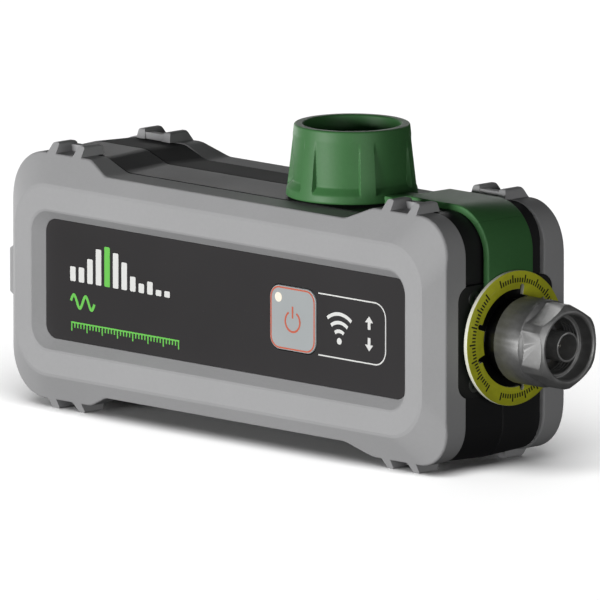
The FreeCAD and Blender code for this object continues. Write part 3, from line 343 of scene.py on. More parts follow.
def moulded(shade, roughness, grain, depth, mottle=0.08, edge=0.0, rear_matt=0.0, **constants):
    """Moulded rubber or plastic: eroded grain, slow mottling, rubbed edges and faint scuffs.

    rear_matt is what the rear half of the case adds to the roughness.
    """
    made = Finish(**constants)
    fine = made.noise(grain, 3.0, 0.6)
    slow = made.noise(22 * MM, 3.0)
    speck = made.noise(2.6 * grain, 1.0)
    scuff = made.noise(9 * MM, 6.0, 0.72, made.vector("MULTIPLY", made.place, (1, 1, 7)))
    soft, rim = made.rounded(0.2 * MM)
    scuffed = made.step(scuff, 0.60, 0.72)
    rear = made.step(made.split(made.place)[1], -0.5 * MM, 0.5 * MM)
    light = 1 + (slow - 0.5) * (2 * mottle) + (speck - 0.5) * mottle + rim * edge + scuffed * (mottle * 0.5)
    return made.set(
        Base_Color=made.vector("SCALE", made.join(*shade), Scale=light),
        Roughness=roughness + (slow - 0.5) * 0.12 + scuffed * 0.06 - rim * 0.08 + rear * rear_matt,
        Normal=made.bump(fine, depth, 0.8, Normal=soft),
    )


def bumper_rubber(colours):
    """Pale grey thermoplastic rubber with a fine eroded grain."""
    return moulded(
        colours.bumper, roughness=0.66, grain=0.42 * MM, depth=0.045 * MM, mottle=0.05, edge=0.05, IOR=1.45
    )


def case_plastic(colours):
    """Black glass-filled plastic with a satin grain."""
    return moulded(
        colours.case, roughness=0.52, grain=0.28 * MM, depth=0.012 * MM, mottle=0.2, edge=0.6,
        rear_matt=0.25, IOR=1.5,
    )


def strap_rubber(colours):
    """Green rubber of the strap and cap."""
    return moulded(
        colours.strap, roughness=0.5, grain=0.42 * MM, depth=0.04 * MM, mottle=0.1, edge=0.18, IOR=1.42
    )


def gasket_rubber(colours):
    """Matt black rubber."""
    return moulded((0.02, 0.02, 0.021), roughness=0.7, grain=0.2 * MM, depth=0.01 * MM, mottle=0.15)


def dark_plastic(colours):
    """Dark grey plastic of small parts."""
    return moulded((0.03, 0.03, 0.032), roughness=0.5, grain=0.15 * MM, depth=0.008 * MM, mottle=0.15)


def dielectric(colours):
    """Milky insulator plastic."""
    return moulded((0.72, 0.70, 0.64), roughness=0.4, grain=0.2 * MM, depth=0.006 * MM, mottle=0.04)


def lead_jacket(colours):
    """Red insulation of the battery leads."""
    return moulded((0.45, 0.03, 0.02), roughness=0.45, grain=0.2 * MM, depth=0.006 * MM, mottle=0.06)


def battery_wrap(colours):
    """Shrink sleeve round the battery, with faint wrinkles."""
    made = Finish(Roughness=0.32)
    wrinkle = made.noise(2.2 * MM, 4.0, place=made.vector("MULTIPLY", made.place, (0.25, 1, 1)))
    slow = made.noise(15 * MM)
    shade = made.mix(slow, (0.02, 0.05, 0.16), (0.03, 0.08, 0.24))
    return made.set(Base_Color=shade, Normal=made.bump(wrinkle, 0.05 * MM))


def film(shade, roughness, orange_peel=0.006 * MM, specular=0.5):
    """Printed polyester film: even colour, faint orange peel and tiny dust specks."""
    made = Finish(IOR=1.5, Specular_IOR_Level=specular)
    peel = made.noise(0.5 * MM, 2.0)
    slow = made.noise(26 * MM, 3.0)
    dust = made.step(made.noise(0.45 * MM, 1.0), 0.76, 0.82)
    base = made.mix(slow, toned(shade, 0.94), toned(shade, 1.06))
    return made.set(
        Base_Color=made.mix(dust * 0.12, base, (0.5, 0.5, 0.5)),
        Roughness=roughness + (slow - 0.5) * 0.08 + dust * 0.2,
        Normal=made.bump(peel, orange_peel, 0.7),
    )


def label_film(colours):
    """Charcoal label film."""
    return film(colours.label, roughness=0.46, specular=0.25)


def button_film(colours):
    """Pale button film."""
    return film(colours.button, roughness=0.36)


def print_film(shade, roughness=0.45):
    """Smooth film of ink."""
    return film(shade, roughness, orange_peel=0.003 * MM)


def white_ink(colours):
    """White print."""
    return print_film(colours.white_print)


def green_ink(colours):
    """Green print."""
    return print_film(colours.green_print)


def button_ink(colours):
    """Red-orange print of the button."""
    return print_film(colours.button_print)


def disc_ink(colours):
    """Black print of the torque disc."""
    return print_film(colours.disc_print, roughness=0.5)


def disc_film(colours):
    """Laminated disc: yellow-green printed face, pale edges, faint radial wear."""
    made = Finish(IOR=1.5)
    radius, _, y, z = made.off_axis()
    facing = made.split(made.node("ShaderNodeNewGeometry", output="True Normal"))[0]
    slow = made.noise(7 * MM, 4.0, 0.6)
    fine = made.noise(0.3 * MM, 2.0)
    ring = made.noise(2 * MM, 3.0, place=made.join(radius * 6, y * 0.3, z * 0.3))
    face = made.mix(made.step(slow, 0.3, 0.7), toned(colours.disc, 0.82), colours.disc)
    worn = made.mix(made.step(ring, 0.6, 0.8) * 0.25, face, (0.7, 0.7, 0.35))
    return made.set(
        Base_Color=made.mix(made.step(facing, 0.3, 0.6), (0.80, 0.80, 0.68), worn),
        Roughness=0.42 + (fine - 0.5) * 0.15, Normal=made.bump(fine, 0.006 * MM),
    )


def lens(colours):
    """Warm white diffusing light pipe with a faint painted glow."""
    # Painted glow: the lens gives off a faint light of its own colour.
    made = Finish(Roughness=0.25, IOR=1.49, Emission_Strength=0.25)
    shade = made.mix(made.noise(0.8 * MM, 2.0), (0.82, 0.74, 0.60), (0.95, 0.90, 0.78))
    return made.set(Base_Color=shade, Emission_Color=shade)


def metal(shade, roughness, blotch=0.0, **constants):
    """Plated metal: turning lines round the connector's axis, blotches, fine scratches and painted
    highlights on the edges.
    """
    made = Finish(**{"Metallic": 1.0, **constants})
    radius, x, y, _ = made.off_axis()
    lines = made.noise(1.2 * MM, 3.0, 0.6, made.join(x * 8, radius * 8, y * 0.2))
    cloud = made.noise(3.2 * MM, 4.0, 0.62)
    fine = made.noise(0.35 * MM, 3.0)
    soft, rim = made.rounded(0.12 * MM)
    base = made.mix(made.step(cloud, 0.32, 0.68), toned(shade, 1 - 0.55 * blotch - 0.12), shade)
    return made.set(
        # Painted highlight: the colour grows up to 2.2 times lighter towards the edges.
        Base_Color=made.mix(rim * 0.8, base, toned(shade, 2.2)),
        Roughness=roughness + (cloud - 0.5) * (0.18 + blotch * 0.3) + (fine - 0.5) * 0.1 - rim * 0.06,
        Normal=made.bump(lines, 0.004 * MM, 0.7, Normal=soft),
    )


def nickel(colours):
    """Nickel plating."""
    return metal(colours.nickel, roughness=0.46, blotch=0.10, Metallic=0.7)


def black_nickel(colours):
    """Black plating of the connector's hub."""
    return metal((0.055, 0.055, 0.06), roughness=0.32)


def brass(colours):
    """Bare brass."""
    return metal((0.78, 0.57, 0.22), roughness=0.28)


def gold(colours):
    """Pale plating of the contacts."""
    return metal((0.62, 0.60, 0.54), roughness=0.30)


def copper(colours):
    """Copper jacket of the coaxial jumper."""
    return metal((0.80, 0.42, 0.28), roughness=0.30)


def tin(colours):
    """Tinned steel sheet."""
    return metal((0.62, 0.63, 0.64), roughness=0.36, blotch=0.1)


def screw_steel(colours):
    """Blackened steel of the screws."""
    return metal((0.22, 0.22, 0.23), roughness=0.34)


def board_laminate(colours):
    """Circuit board: green mask over copper tracks, with small plated pads."""
    made = Finish(Roughness=0.34)
    upright = made.node("ShaderNodeMapping", Vector=made.place, Rotation=(math.pi / 2, 0, 0))
    tracks = made.node(
        "ShaderNodeTexBrick", {"offset": 0.5}, output="Fac", Vector=upright, Scale=1 / (6 * MM),
        Mortar_Size=0.035, Brick_Width=0.7, Row_Height=0.25,
    )
    pads = made.node("ShaderNodeTexVoronoi", output="Distance", Vector=made.place, Scale=1 / (2.4 * MM))
    pad = 1 - made.step(pads, 0.12, 0.16)
    mask = made.mix(tracks, (0.008, 0.07, 0.03), (0.03, 0.16, 0.06))
    return made.set(
        Base_Color=made.mix(pad, mask, (0.7, 0.6, 0.4)), Metallic=pad,
        Normal=made.bump(tracks, 0.03 * MM, 0.6),
    )


FINISH_MAKERS = {
    maker.__name__: maker for maker in (
        bumper_rubber, case_plastic, strap_rubber, gasket_rubber, dark_plastic, dielectric, lead_jacket,
        battery_wrap, label_film, button_film, white_ink, green_ink, button_ink, disc_ink, disc_film, lens,
        nickel, black_nickel, brass, gold, copper, tin, screw_steel, board_laminate,
    )
}


# ---- meshes ----
def new_object(name, data):
    """Object in the scene."""
    thing = bpy.data.objects.new(name, data)
    bpy.context.scene.collection.objects.link(thing)
    return thing


def new_piece(name, mesh, slot, ink=None):
    """Object of a mesh, with the finish of its slot or of the ink printed on it."""
    piece = new_object(name, mesh)
    mesh.materials.append(finish(ink or slot))
    return piece


def from_bmesh(name, shape):
    """Mesh of a bmesh, with its faces turned outwards."""
    bmesh.ops.recalc_face_normals(shape, faces=shape.faces)
    mesh = bpy.data.meshes.new(name)
    shape.to_mesh(mesh)
    shape.free()
    return mesh


def smooth(mesh, degrees):
    """Shades a mesh smooth, but for edges that turn by more than an angle."""
    mesh.shade_smooth()
    mesh.set_sharp_from_angle(angle=math.radians(degrees))


def thick_plate(shape, outline, back, front):
    """Adds a flat plate: an outline in (x, z) between two depths in y."""
    verts = [[shape.verts.new((x, y, z)) for x, z in outline] for y in (back, front)]
    shape.faces.new(verts[0])
    shape.faces.new(list(reversed(verts[1])))
    count = len(outline)
    for i in range(count):
        j = (i + 1) % count
        shape.faces.new((verts[0][i], verts[0][j], verts[1][j], verts[1][i]))


def ribbon(shape, points, width, back, front, closed=False):
    """Adds a flat line of even width along points in (x, z)."""
    path = [Vector(point) for point in points]
    last = len(path) - 1
    rows = []
    for i, here in enumerate(path):
        runs = []
        if i or closed:
            runs.append((here - path[i - 1]).normalized())
        if i < last or closed:
            runs.append((path[(i + 1) % len(path)] - here).normalized())
        along = sum(runs, Vector((0, 0))).normalized()
        across = Vector((-along.y, along.x)) * (width / 2) / max(0.5, along.dot(runs[0]))
        sides = (here + across, here - across)
        rows.append([shape.verts.new((p.x, y, p.y)) for p in sides for y in (back, front)])
    following = rows[1:] + rows[:1] if closed else rows[1:]
    for one, two in zip(rows, following):
        for i, j in ((0, 1), (1, 3), (3, 2), (2, 0)):
            shape.faces.new((one[i], one[j], two[j], two[i]))
    if not closed:
        for row in (rows[0], rows[-1]):
            shape.faces.new((row[0], row[1], row[3], row[2]))


def arc(centre, radius, start, end, steps=12):
    """Points on an arc in (x, z), with angles in degrees from +x."""
    angles = [math.radians(start + (end - start) * i / steps) for i in range(steps + 1)]
    return [(centre[0] + radius * math.cos(a), centre[1] + radius * math.sin(a)) for a in angles]


def rounded_box(x0, x1, z0, z1, radius, steps=6):
    """Outline of a rectangle with round corners."""
    left, right = x0 + radius, x1 - radius
    low, high = z0 + radius, z1 - radius
    corners = ((right, high), (left, high), (left, low), (right, low))
    return [
        point for i, corner in enumerate(corners)
        for point in arc(corner, radius, 90 * i, 90 * (i + 1), steps)
    ]


def lathe(name, profile, centre, axis, steps=96):
    """Closed surface from a profile of (radius, distance along the axis) turned round the axis."""
    shape = bmesh.new()
    turn = Vector((0, 0, 1)).rotation_difference(axis).to_matrix().to_4x4()
    verts = [shape.verts.new((r, 0, d)) for r, d in profile]
    for a, b in zip(verts, verts[1:]):
        shape.edges.new((a, b))
    bmesh.ops.spin(
        shape, geom=shape.verts[:] + shape.edges[:], cent=(0, 0, 0), axis=(0, 0, 1),
        angle=math.tau, steps=steps, use_duplicate=False,
    )
    bmesh.ops.remove_doubles(shape, verts=shape.verts, dist=0.002 * MM)
    bmesh.ops.transform(shape, matrix=Matrix.Translation(centre) @ turn, verts=shape.verts)
    return from_bmesh(name, shape)


def eased_copy(name, node, width, degrees=30, segments=2):
    """A CAD node's shape with its sharp edges softened, standing for that node."""
    source = frame["nodes"][node]
    shape = bmesh.new()
    shape.from_mesh(source.data)
    bmesh.ops.remove_doubles(shape, verts=shape.verts, dist=0.0005 * MM)
    bmesh.ops.dissolve_limit(
        shape, angle_limit=math.radians(0.4), verts=shape.verts, edges=shape.edges,
        use_dissolve_boundaries=False,
    )
    mesh = from_bmesh(name, shape)
    piece = new_piece(name, mesh, source.data.materials[0].name)
    bevel = piece.modifiers.new("Ease", "BEVEL")
    bevel.width = width
    bevel.segments = segments
    bevel.limit_method = "ANGLE"
    bevel.angle_limit = math.radians(degrees)
    bevel.harden_normals = True
    mesh.shade_smooth()
    bake(piece)
    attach(piece, source["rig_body"])
    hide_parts(node)


def bake(piece):
    """Turns a piece with modifiers into a plain mesh."""
    evaluated = piece.evaluated_get(bpy.context.evaluated_depsgraph_get())
    mesh = bpy.data.meshes.new_from_object(evaluated)
    piece.modifiers.clear()
    old = piece.data
    piece.data = mesh
    name = old.name
    bpy.data.meshes.remove(old)
    mesh.name = name


# ---- geometry node trees ----
class Rule(Graph):
    """A geometry tree with named inputs, which ends in Realize Instances and Set Material."""

    def __init__(self, name, inputs):
        super().__init__(bpy.data.node_groups.new(name, "GeometryNodeTree"))
        face = self.tree.interface
        for title, kind in {"Geometry": "Geometry", **inputs, "Material": "Material"}.items():
            face.new_socket(title, in_out="INPUT", socket_type="NodeSocket" + kind)
        face.new_socket("Geometry", in_out="OUTPUT", socket_type="NodeSocketGeometry")
        self.given = self.tree.nodes.new("NodeGroupInput")

    def __getitem__(self, title):
        """A named input of the tree."""
        return Socket(self, self.given.outputs[title])

    def line(self, normal):
        """The piece's line as a curve, with its normal held in this direction."""
        curve = self.node("GeometryNodeMeshToCurve", Mesh=self["Geometry"])
        return self.node("GeometryNodeSetCurveNormal", {"mode": "FREE"}, Curve=curve, Normal=normal)

    def end(self, geometry):
        """Closes the tree."""
        real = self.node("GeometryNodeRealizeInstances", Geometry=geometry)
        dressed = self.node("GeometryNodeSetMaterial", Geometry=real, Material=self["Material"])
        self.node("NodeGroupOutput", Geometry=dressed)
        return self.tree


def grow(piece, tree, **values):
    """Runs a geometry tree on a piece and keeps the result as its plain mesh."""
    modifier = piece.modifiers.new("Rule", "NODES")
    modifier.node_group = tree
    keys = {item.name: item.identifier for item in tree.interface.items_tree if item.in_out == "INPUT"}
    for title, value in values.items():
        modifier[keys[title.replace("_", " ")]] = value
    modifier[keys["Material"]] = piece.data.materials[0]
    piece.data.update()
    bake(piece)


def path_mesh(name, points):
    """Mesh of a line through points."""
    mesh = bpy.data.meshes.new(name)
    mesh.from_pydata(points, [(i, i + 1) for i in range(len(points) - 1)], [])
    return mesh


def band_rule():
    """A band of even section, swept along the piece's line in the plane y = 0."""
    rule = Rule("Band along a line", {"Width": "Float", "Thickness": "Float", "Rounding": "Float"})
    line = rule.line((0.0, 1.0, 0.0))
    section = rule.node(
        "GeometryNodeCurvePrimitiveQuadrilateral", Width=rule["Width"], Height=rule["Thickness"]
    )
    section = rule.node(
        "GeometryNodeFilletCurve", {"mode": "POLY"}, Curve=section, Count=4, Radius=rule["Rounding"]
    )
    band = rule.node("GeometryNodeCurveToMesh", Curve=line, Profile_Curve=section, Fill_Caps=True)
    return rule.end(band)


@cache
def tick_rule():
    """Scale marks along the piece's line, standing across it, with every fifth one long."""
    rule = Rule("Marks along a line", {
        "Count": "Int", "Width": "Float", "Height": "Float", "Long": "Float", "Film": "Float",
        "Face": "Vector",
    })
    points = rule.node(
        "GeometryNodeCurveToPoints", {"mode": "COUNT"}, Curve=rule.line(rule["Face"]), Count=rule["Count"]
    )
    long = 1 - rule.math("MINIMUM", rule.node("GeometryNodeInputIndex") % 5, 1)
    tall = 1 + long * (rule["Long"] - 1)
    mark = rule.node("GeometryNodeMeshCube", Size=rule.join(rule["Film"], rule["Height"], rule["Width"]))
    mark = rule.node("GeometryNodeTransform", Geometry=mark, Translation=rule.join(y=rule["Height"] / 2))
    marks = rule.node(
        "GeometryNodeInstanceOnPoints", Points=points, Instance=mark,
        Rotation=points.other("Rotation"), Scale=rule.join(1.0, tall, 1.0),
    )
    return rule.end(marks)


def thread_rule():
    """A helical ridge along +x, sunk a little into the bore that carries it."""
    rule = Rule("Helical thread", {
        "Pitch": "Float", "Turns": "Float", "Radius": "Float", "Depth": "Float", "Start": "Vector",
    })
    helix = rule.node(
        "GeometryNodeCurveSpiral", Resolution=64, Rotations=rule["Turns"], Start_Radius=rule["Radius"],
        End_Radius=rule["Radius"], Height=rule["Pitch"] * rule["Turns"],
    )
    helix = rule.node("GeometryNodeSetCurveNormal", {"mode": "Z_UP"}, Curve=helix)
    ridge = rule.node("GeometryNodeCurvePrimitiveCircle", Resolution=4, Radius=rule["Depth"])
    thread = rule.node("GeometryNodeCurveToMesh", Curve=helix, Profile_Curve=ridge, Fill_Caps=True)
    placed = rule.node(
        "GeometryNodeTransform", Geometry=thread, Translation=rule["Start"], Rotation=(0.0, math.pi / 2, 0.0)
    )
    return rule.end(placed)


def pocket_rule():
    """Hollows between ribs, pressed into the outer wall of a cup round a vertical axis."""
    rule = Rule("Hollows between ribs", {
        "Ribs": "Int", "Rib width": "Float", "Edge": "Float", "Floor radius": "Float", "Start": "Float",
        "Rise": "Float", "Base radius": "Float", "Centre": "Vector",
    })
    place = rule.vector("SUBTRACT", rule.node("GeometryNodeInputPosition"), rule["Centre"])
    x, y, z = rule.split(place)
    radius = rule.math("SQRT", x * x + y * y)
    sector = 360 / rule["Ribs"]
    degrees = rule.math("ARCTAN2", y, x) * (180 / math.pi)
    from_rib = rule.math("ABSOLUTE", (degrees + 360) % sector - sector / 2)
    half = rule["Rib width"] / 2
    inside = rule.step(from_rib, half, half + rule["Edge"])
    floor = rule["Floor radius"]
    run_in = rule.math("MAXIMUM", rule["Start"] + rule["Rise"] - z, 0.0) / rule["Rise"]
    hollow = floor + (rule["Base radius"] - floor) * run_in
    pressed = rule.math("MINIMUM", radius, hollow)
    share = 1 + inside * (pressed / rule.math("MAXIMUM", radius, 0.001 * MM) - 1)
    pushed = rule.vector("MULTIPLY", place, rule.join(share, share, 1.0))
    cup = rule.node(
        "GeometryNodeSetPosition", Geometry=rule["Geometry"], Selection=radius > floor,
        Position=rule.vector("ADD", rule["Centre"], pushed),
    )
    return rule.end(cup)


# ---- operators ----
class Dressing:
    """What every operator of the panel shares."""
    bl_options = {"REGISTER"}

    def execute(self, context):
        self.dress(context.scene)
        return {"FINISHED"}


class ANALYZER_OT_finishes(Dressing, bpy.types.Operator):
    """Give every piece of the frame the finish of its slot"""
    bl_idname = "analyzer.finishes"
    bl_label = "Frame finishes"

    def dress(self, scene):
        for node in frame["nodes"].values():
            for slot, given in zip(node.material_slots, node.data.materials):
                slot.link = "OBJECT"
                slot.material = finish(given.name)


class ANALYZER_OT_metal_edges(Dressing, bpy.types.Operator):
    """Soften the edges of the connector's metal pieces and of the torque disc"""
    bl_idname = "analyzer.metal_edges"
    bl_label = "Softened edges"

    def dress(self, scene):
        ease = scene.analyzer_metal.edge_ease
        eased_copy("coupling_nut_eased", "coupling_nut", ease)
        eased_copy("torque_disc_eased", "torque_disc", ease)
        eased_copy("outer_contact_eased", "outer_contact", ease / 2)


class ANALYZER_OT_nut_thread(Dressing, bpy.types.Operator):
    """Cut the thread inside the coupling nut"""
    bl_idname = "analyzer.nut_thread"
    bl_label = "Nut thread"

    def dress(self, scene):
        sizes = scene.analyzer_metal
        end = nut_high.x - sizes.mouth_depth
        start = gasket_high.x + sizes.thread_pitch
        thread = new_piece("nut_thread", path_mesh("nut_thread", [(0, 0, 0)]), "nickel")
        grow(
            thread, thread_rule(), Pitch=sizes.thread_pitch, Turns=(end - start) / sizes.thread_pitch,
            Radius=sizes.thread_radius, Depth=sizes.thread_depth, Start=(start, 0, axis_z),
        )
        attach(thread, "coupling_nut")


def print_marks(name, slot, ink, points, sizes, **values):
    """Scale marks printed along points. The values are their count and the way that their face looks."""
    marks = new_piece(name, path_mesh(name, points), slot, ink)
    grow(
        marks, tick_rule(), Width=sizes.tick_width, Height=sizes.tick_height,
        Long=sizes.long_tick, Film=2 * sizes.film, **values,
    )
    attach(marks, "case")


class ANALYZER_OT_label_print(Dressing, bpy.types.Operator):
    """Print the level bars, the wave, the scale, the box and its signs on the front label"""
    bl_idname = "analyzer.label_print"
    bl_label = "Label print"

    def dress(self, scene):
        sizes = scene.analyzer_print
        self.back = label_front + sizes.film / 2
        self.front = label_front - sizes.film
        self.level_bars(sizes)
        self.wave()
        self.scale(sizes)
        self.box(sizes)
        self.wireless_sign()
        self.arrows()

    def plate(self, shape, outline):
        """Adds a flat area of print."""
        thick_plate(shape, outline, self.back, self.front)

    def line(self, shape, points, width):
        """Adds a printed line."""
        ribbon(shape, points, width, self.back, self.front)

    def printed(self, name, shape, ink):
        """A print on the label."""
        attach(new_piece(name, from_bmesh(name, shape), "label_film", ink), "case")

    def level_bars(self, sizes):
        """White bars with a green one at the peak."""
        left = label_low.x + 9.2 * MM
        foot = axis_z + 0.2 * MM
        rounding = 0.35 * MM
        peak, spread, ripples = 4, 2.6, 2.1
        white = bmesh.new()
        green = bmesh.new()
        for index in range(sizes.bar_count):
            rise = math.exp(-((index - peak) / spread) ** 2)
            ripple = 0.10 * math.cos(index * ripples)
            height = sizes.bar_height * (0.2 + 0.8 * rise + ripple * (1 - rise))
            x0 = left + index * sizes.bar_pitch
            outline = rounded_box(x0, x0 + sizes.bar_width, foot, foot + height, rounding, 3)
            self.plate(green if index == peak else white, outline)
        self.printed("print_bars_white", white, "white_ink")
        self.printed("print_bar_green", green, "green_ink")

    def wave(self):
        """Green wave of two periods."""
        left = label_low.x + 9.5 * MM
        width = 9.0 * MM
        middle = axis_z - 5.2 * MM
        swing = 1.7 * MM
        steps = 48
        points = [
            (left + width * i / steps, middle + swing * math.sin(math.tau * 2 * i / steps))
            for i in range(steps + 1)
        ]
        shape = bmesh.new()
        self.line(shape, points, 0.85 * MM)
        self.printed("print_wave", shape, "green_ink")

    def scale(self, sizes):
        """Green scale under the wave."""
        left = label_low.x + 9.5 * MM
        foot = axis_z - 11.2 * MM
        right = left + 41.5 * MM
        thickness = 0.4 * MM
        inset = 0.3 * MM
        line = bmesh.new()
        self.plate(line, rounded_box(left, right, foot, foot + thickness, 0.19 * MM, 3))
        self.printed("print_scale_line", line, "green_ink")
        points = [(left + inset, label_front, foot), (right - inset, label_front, foot)]
        print_marks(
            "print_scale_marks", "label_film", "green_ink", points, sizes,
            Count=sizes.scale_ticks, Face=(0.0, -1.0, 0.0),
        )

    def box(self, sizes):
        """White line round the signs beside the button."""
        start = button_high.x - 0.6 * MM
        right = 60.6 * MM
        top = axis_z + 8.6 * MM
        low = axis_z - 8.0 * MM
        radius = 4.0 * MM
        points = [
            (start, top), *arc((right - radius, top - radius), radius, 90, 0),
            *arc((right - radius, low + radius), radius, 0, -90), (start, low),
        ]
        shape = bmesh.new()
        self.line(shape, points, sizes.box_line)
        self.printed("print_box", shape, "white_ink")

    def wireless_sign(self):
        """A dot with three arcs over it, for a wireless link."""
        centre = (43.2 * MM, axis_z - 3.4 * MM)
        dot_radius = 0.9 * MM
        line_width = 0.95 * MM
        reach = 38
        dot_points = 24
        shape = bmesh.new()
        self.plate(shape, arc(centre, dot_radius, 0, 360 - 360 / dot_points, dot_points - 1))
        for radius in (2.7, 5.0, 7.3):
            self.line(shape, arc(centre, radius * MM, 90 - reach, 90 + reach), line_width)
        self.printed("print_wireless", shape, "white_ink")

    def arrows(self):
        """An arrow up for sending and one down for receiving."""
        middle_x = 54.4 * MM
        apart = 2.9 * MM
        barb, shaft = 1.5 * MM, 0.5 * MM
        shape = bmesh.new()
        for side in (1, -1):
            middle_z = axis_z + side * apart
            tip = side * 1.8 * MM
            neck = tip - side * 1.7 * MM
            outline = [
                (0, tip), (barb, neck), (shaft, neck), (shaft, -tip), (-shaft, -tip), (-shaft, neck),
                (-barb, neck),
            ]
            self.plate(shape, [(middle_x + x, middle_z + z) for x, z in outline])
        self.printed("print_arrows", shape, "white_ink")


class ANALYZER_OT_button_print(Dressing, bpy.types.Operator):
    """Print the outline and the power symbol on the button"""
    bl_idname = "analyzer.button_print"
    bl_label = "Button print"

    def dress(self, scene):
        sizes = scene.analyzer_print
        face = lens_low.y + 0.1 * MM
        back = face + sizes.film / 2
        front = face - sizes.film
        half = 8.65 * MM
        corner = 3.5 * MM
        x = lens_low.x + 1.3 * MM + 5.3 * MM
        z = (lens_low.z + lens_high.z) / 2 - 5.4 * MM
        inset = 0.3 * MM + sizes.button_line / 2
        shape = bmesh.new()
        outline = rounded_box(
            x - half + inset, x + half - inset, z - half + inset, z + half - inset, corner - inset
        )
        ribbon(shape, outline, sizes.button_line, back, front, closed=True)
        symbol_z = z - 0.7 * MM
        opening = 32
        ring = arc((x, symbol_z), sizes.symbol_radius, 90 + opening, 450 - opening, 36)
        bar = [(x, symbol_z + 0.9 * MM), (x, symbol_z + 4.1 * MM)]
        for points in (ring, bar):
            ribbon(shape, points, sizes.symbol_line, back, front)
        sign = new_piece("print_button", from_bmesh("print_button", shape), "button_film", "button_ink")
        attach(sign, "power_button")


class ANALYZER_OT_disc_print(Dressing, bpy.types.Operator):
    """Print three arcs of scale marks on the torque disc"""
    bl_idname = "analyzer.disc_print"
    bl_label = "Disc print"

    def dress(self, scene):
        sizes = scene.analyzer_print
        face = disc_high.x + sizes.film / 2
        radius = 14.9 * MM
        middles = (60, 180, 300)
        reach = 50
        for index, middle in enumerate(middles):
            points = [(face, y, z) for y, z in arc((0, axis_z), radius, middle - reach, middle + reach, 40)]
            print_marks(
                f"disc_marks_{index + 1}", "disc_film", "disc_ink", points, sizes,
                Count=sizes.disc_ticks, Face=(1.0, 0.0, 0.0),
            )


class ANALYZER_OT_strap(Dressing, bpy.types.Operator):
    """Sweep the strap from its eyelet over the corner to the cap"""
    bl_idname = "analyzer.strap"
    bl_label = "Strap"

    def dress(self, scene):
        sizes = scene.analyzer_rubber
        half = sizes.strap_thickness / 2
        middle_x = corner_high.x - half
        top_z = corner_high.z - half
        bend = sizes.strap_bend + half
        centre = Vector((middle_x - bend, top_z - bend))
        width = corner_high.y - corner_low.y
        rule = band_rule()
        low_z = cap_low.z + half
        foot_z = eyelet_low.z + 24 * MM
        link_middle = (hinges["strap_corner_bend"].x + hinges["cap_bend"].x) / 2
        slope_top = 53.6 * MM
        slope_foot = 45.4 * MM
        cup_side = cap_low.x + 2 * sizes.cap_base
        cup_wall = 3 * MM
        lower = [(middle_x, foot_z), (middle_x, centre.y), *arc(centre, bend, 0, 45)]
        upper = [*arc(centre, bend, 45, 90), (link_middle, top_z)]
        end = [(link_middle, top_z), (slope_top, top_z), (slope_foot, low_z), (cup_side - cup_wall, low_z)]
        up, left = Vector((0, 0, 1)), Vector((-1, 0, 0))
        for name, points, node, joint, way, *bodies in (
            ("strap_lower", lower, "strap_corner_link", "strap_root_bend", up, "case", "strap_corner"),
            ("strap_upper", upper, "strap_top_link", "strap_corner_bend", left, "strap_corner", "strap_top"),
            ("strap_end", end, None, "cap_bend", left, "strap_top", "cap"),
        ):
            line = self.dense([(x, 0, z) for x, z in points])
            piece = new_piece(name, path_mesh(name, line), "strap_rubber")
            grow(piece, rule, Width=width, Thickness=sizes.strap_thickness, Rounding=sizes.strap_rounding)
            if name == "strap_end":
                self.neck(piece, slope_top, cup_side)
            smooth(piece.data, 40)
            reach = way * sizes.bend_reach
            turn = hinges[joint]
            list(bodies)
            turn - reach
            turn + reach
            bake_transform(piece)
            if node:
                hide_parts(node)
        self.eyelet(sizes)

    def neck(self, piece, start, stop, narrower=0.45):
        """Narrow the band smoothly towards the cup."""
        for vertex in piece.data.vertices:
            way = min(1, max(0, (start - vertex.co.x) / (start - stop)))
            vertex.co.y *= 1 - narrower * way * way * (3 - 2 * way)

    def dense(self, points, step=0.6 * MM):
        """The same line with points no further apart than a step."""
        line = [Vector(points[0])]
        for point in points[1:]:
            start = line[-1].copy()
            run = Vector(point) - start
            count = max(1, math.ceil(run.length / step))
            line += [start + run * (i + 1) / count for i in range(count)]
        return line

    def eyelet(self, sizes):
        """Ring of the strap under the torque disc."""
        depth = sizes.eyelet_thickness
        ease = 0.3 * MM
        inner = 10.5 * MM
        outer = (eyelet_high.y - eyelet_low.y) / 2
        profile = [
            (inner, ease), (inner + ease, 0), (outer - ease, 0), (outer, ease),
            (outer, depth - ease), (outer - ease, depth), (inner + ease, depth), (inner, depth - ease),
            (inner, ease),
        ]
        mesh = lathe("strap_ring", profile, Vector((eyelet_low.x, 0, axis_z)), Vector((1, 0, 0)))
        ring = new_piece("strap_ring", mesh, "strap_rubber")
        smooth(mesh, 50)
        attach(ring, "case")
        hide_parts("strap_eyelet")


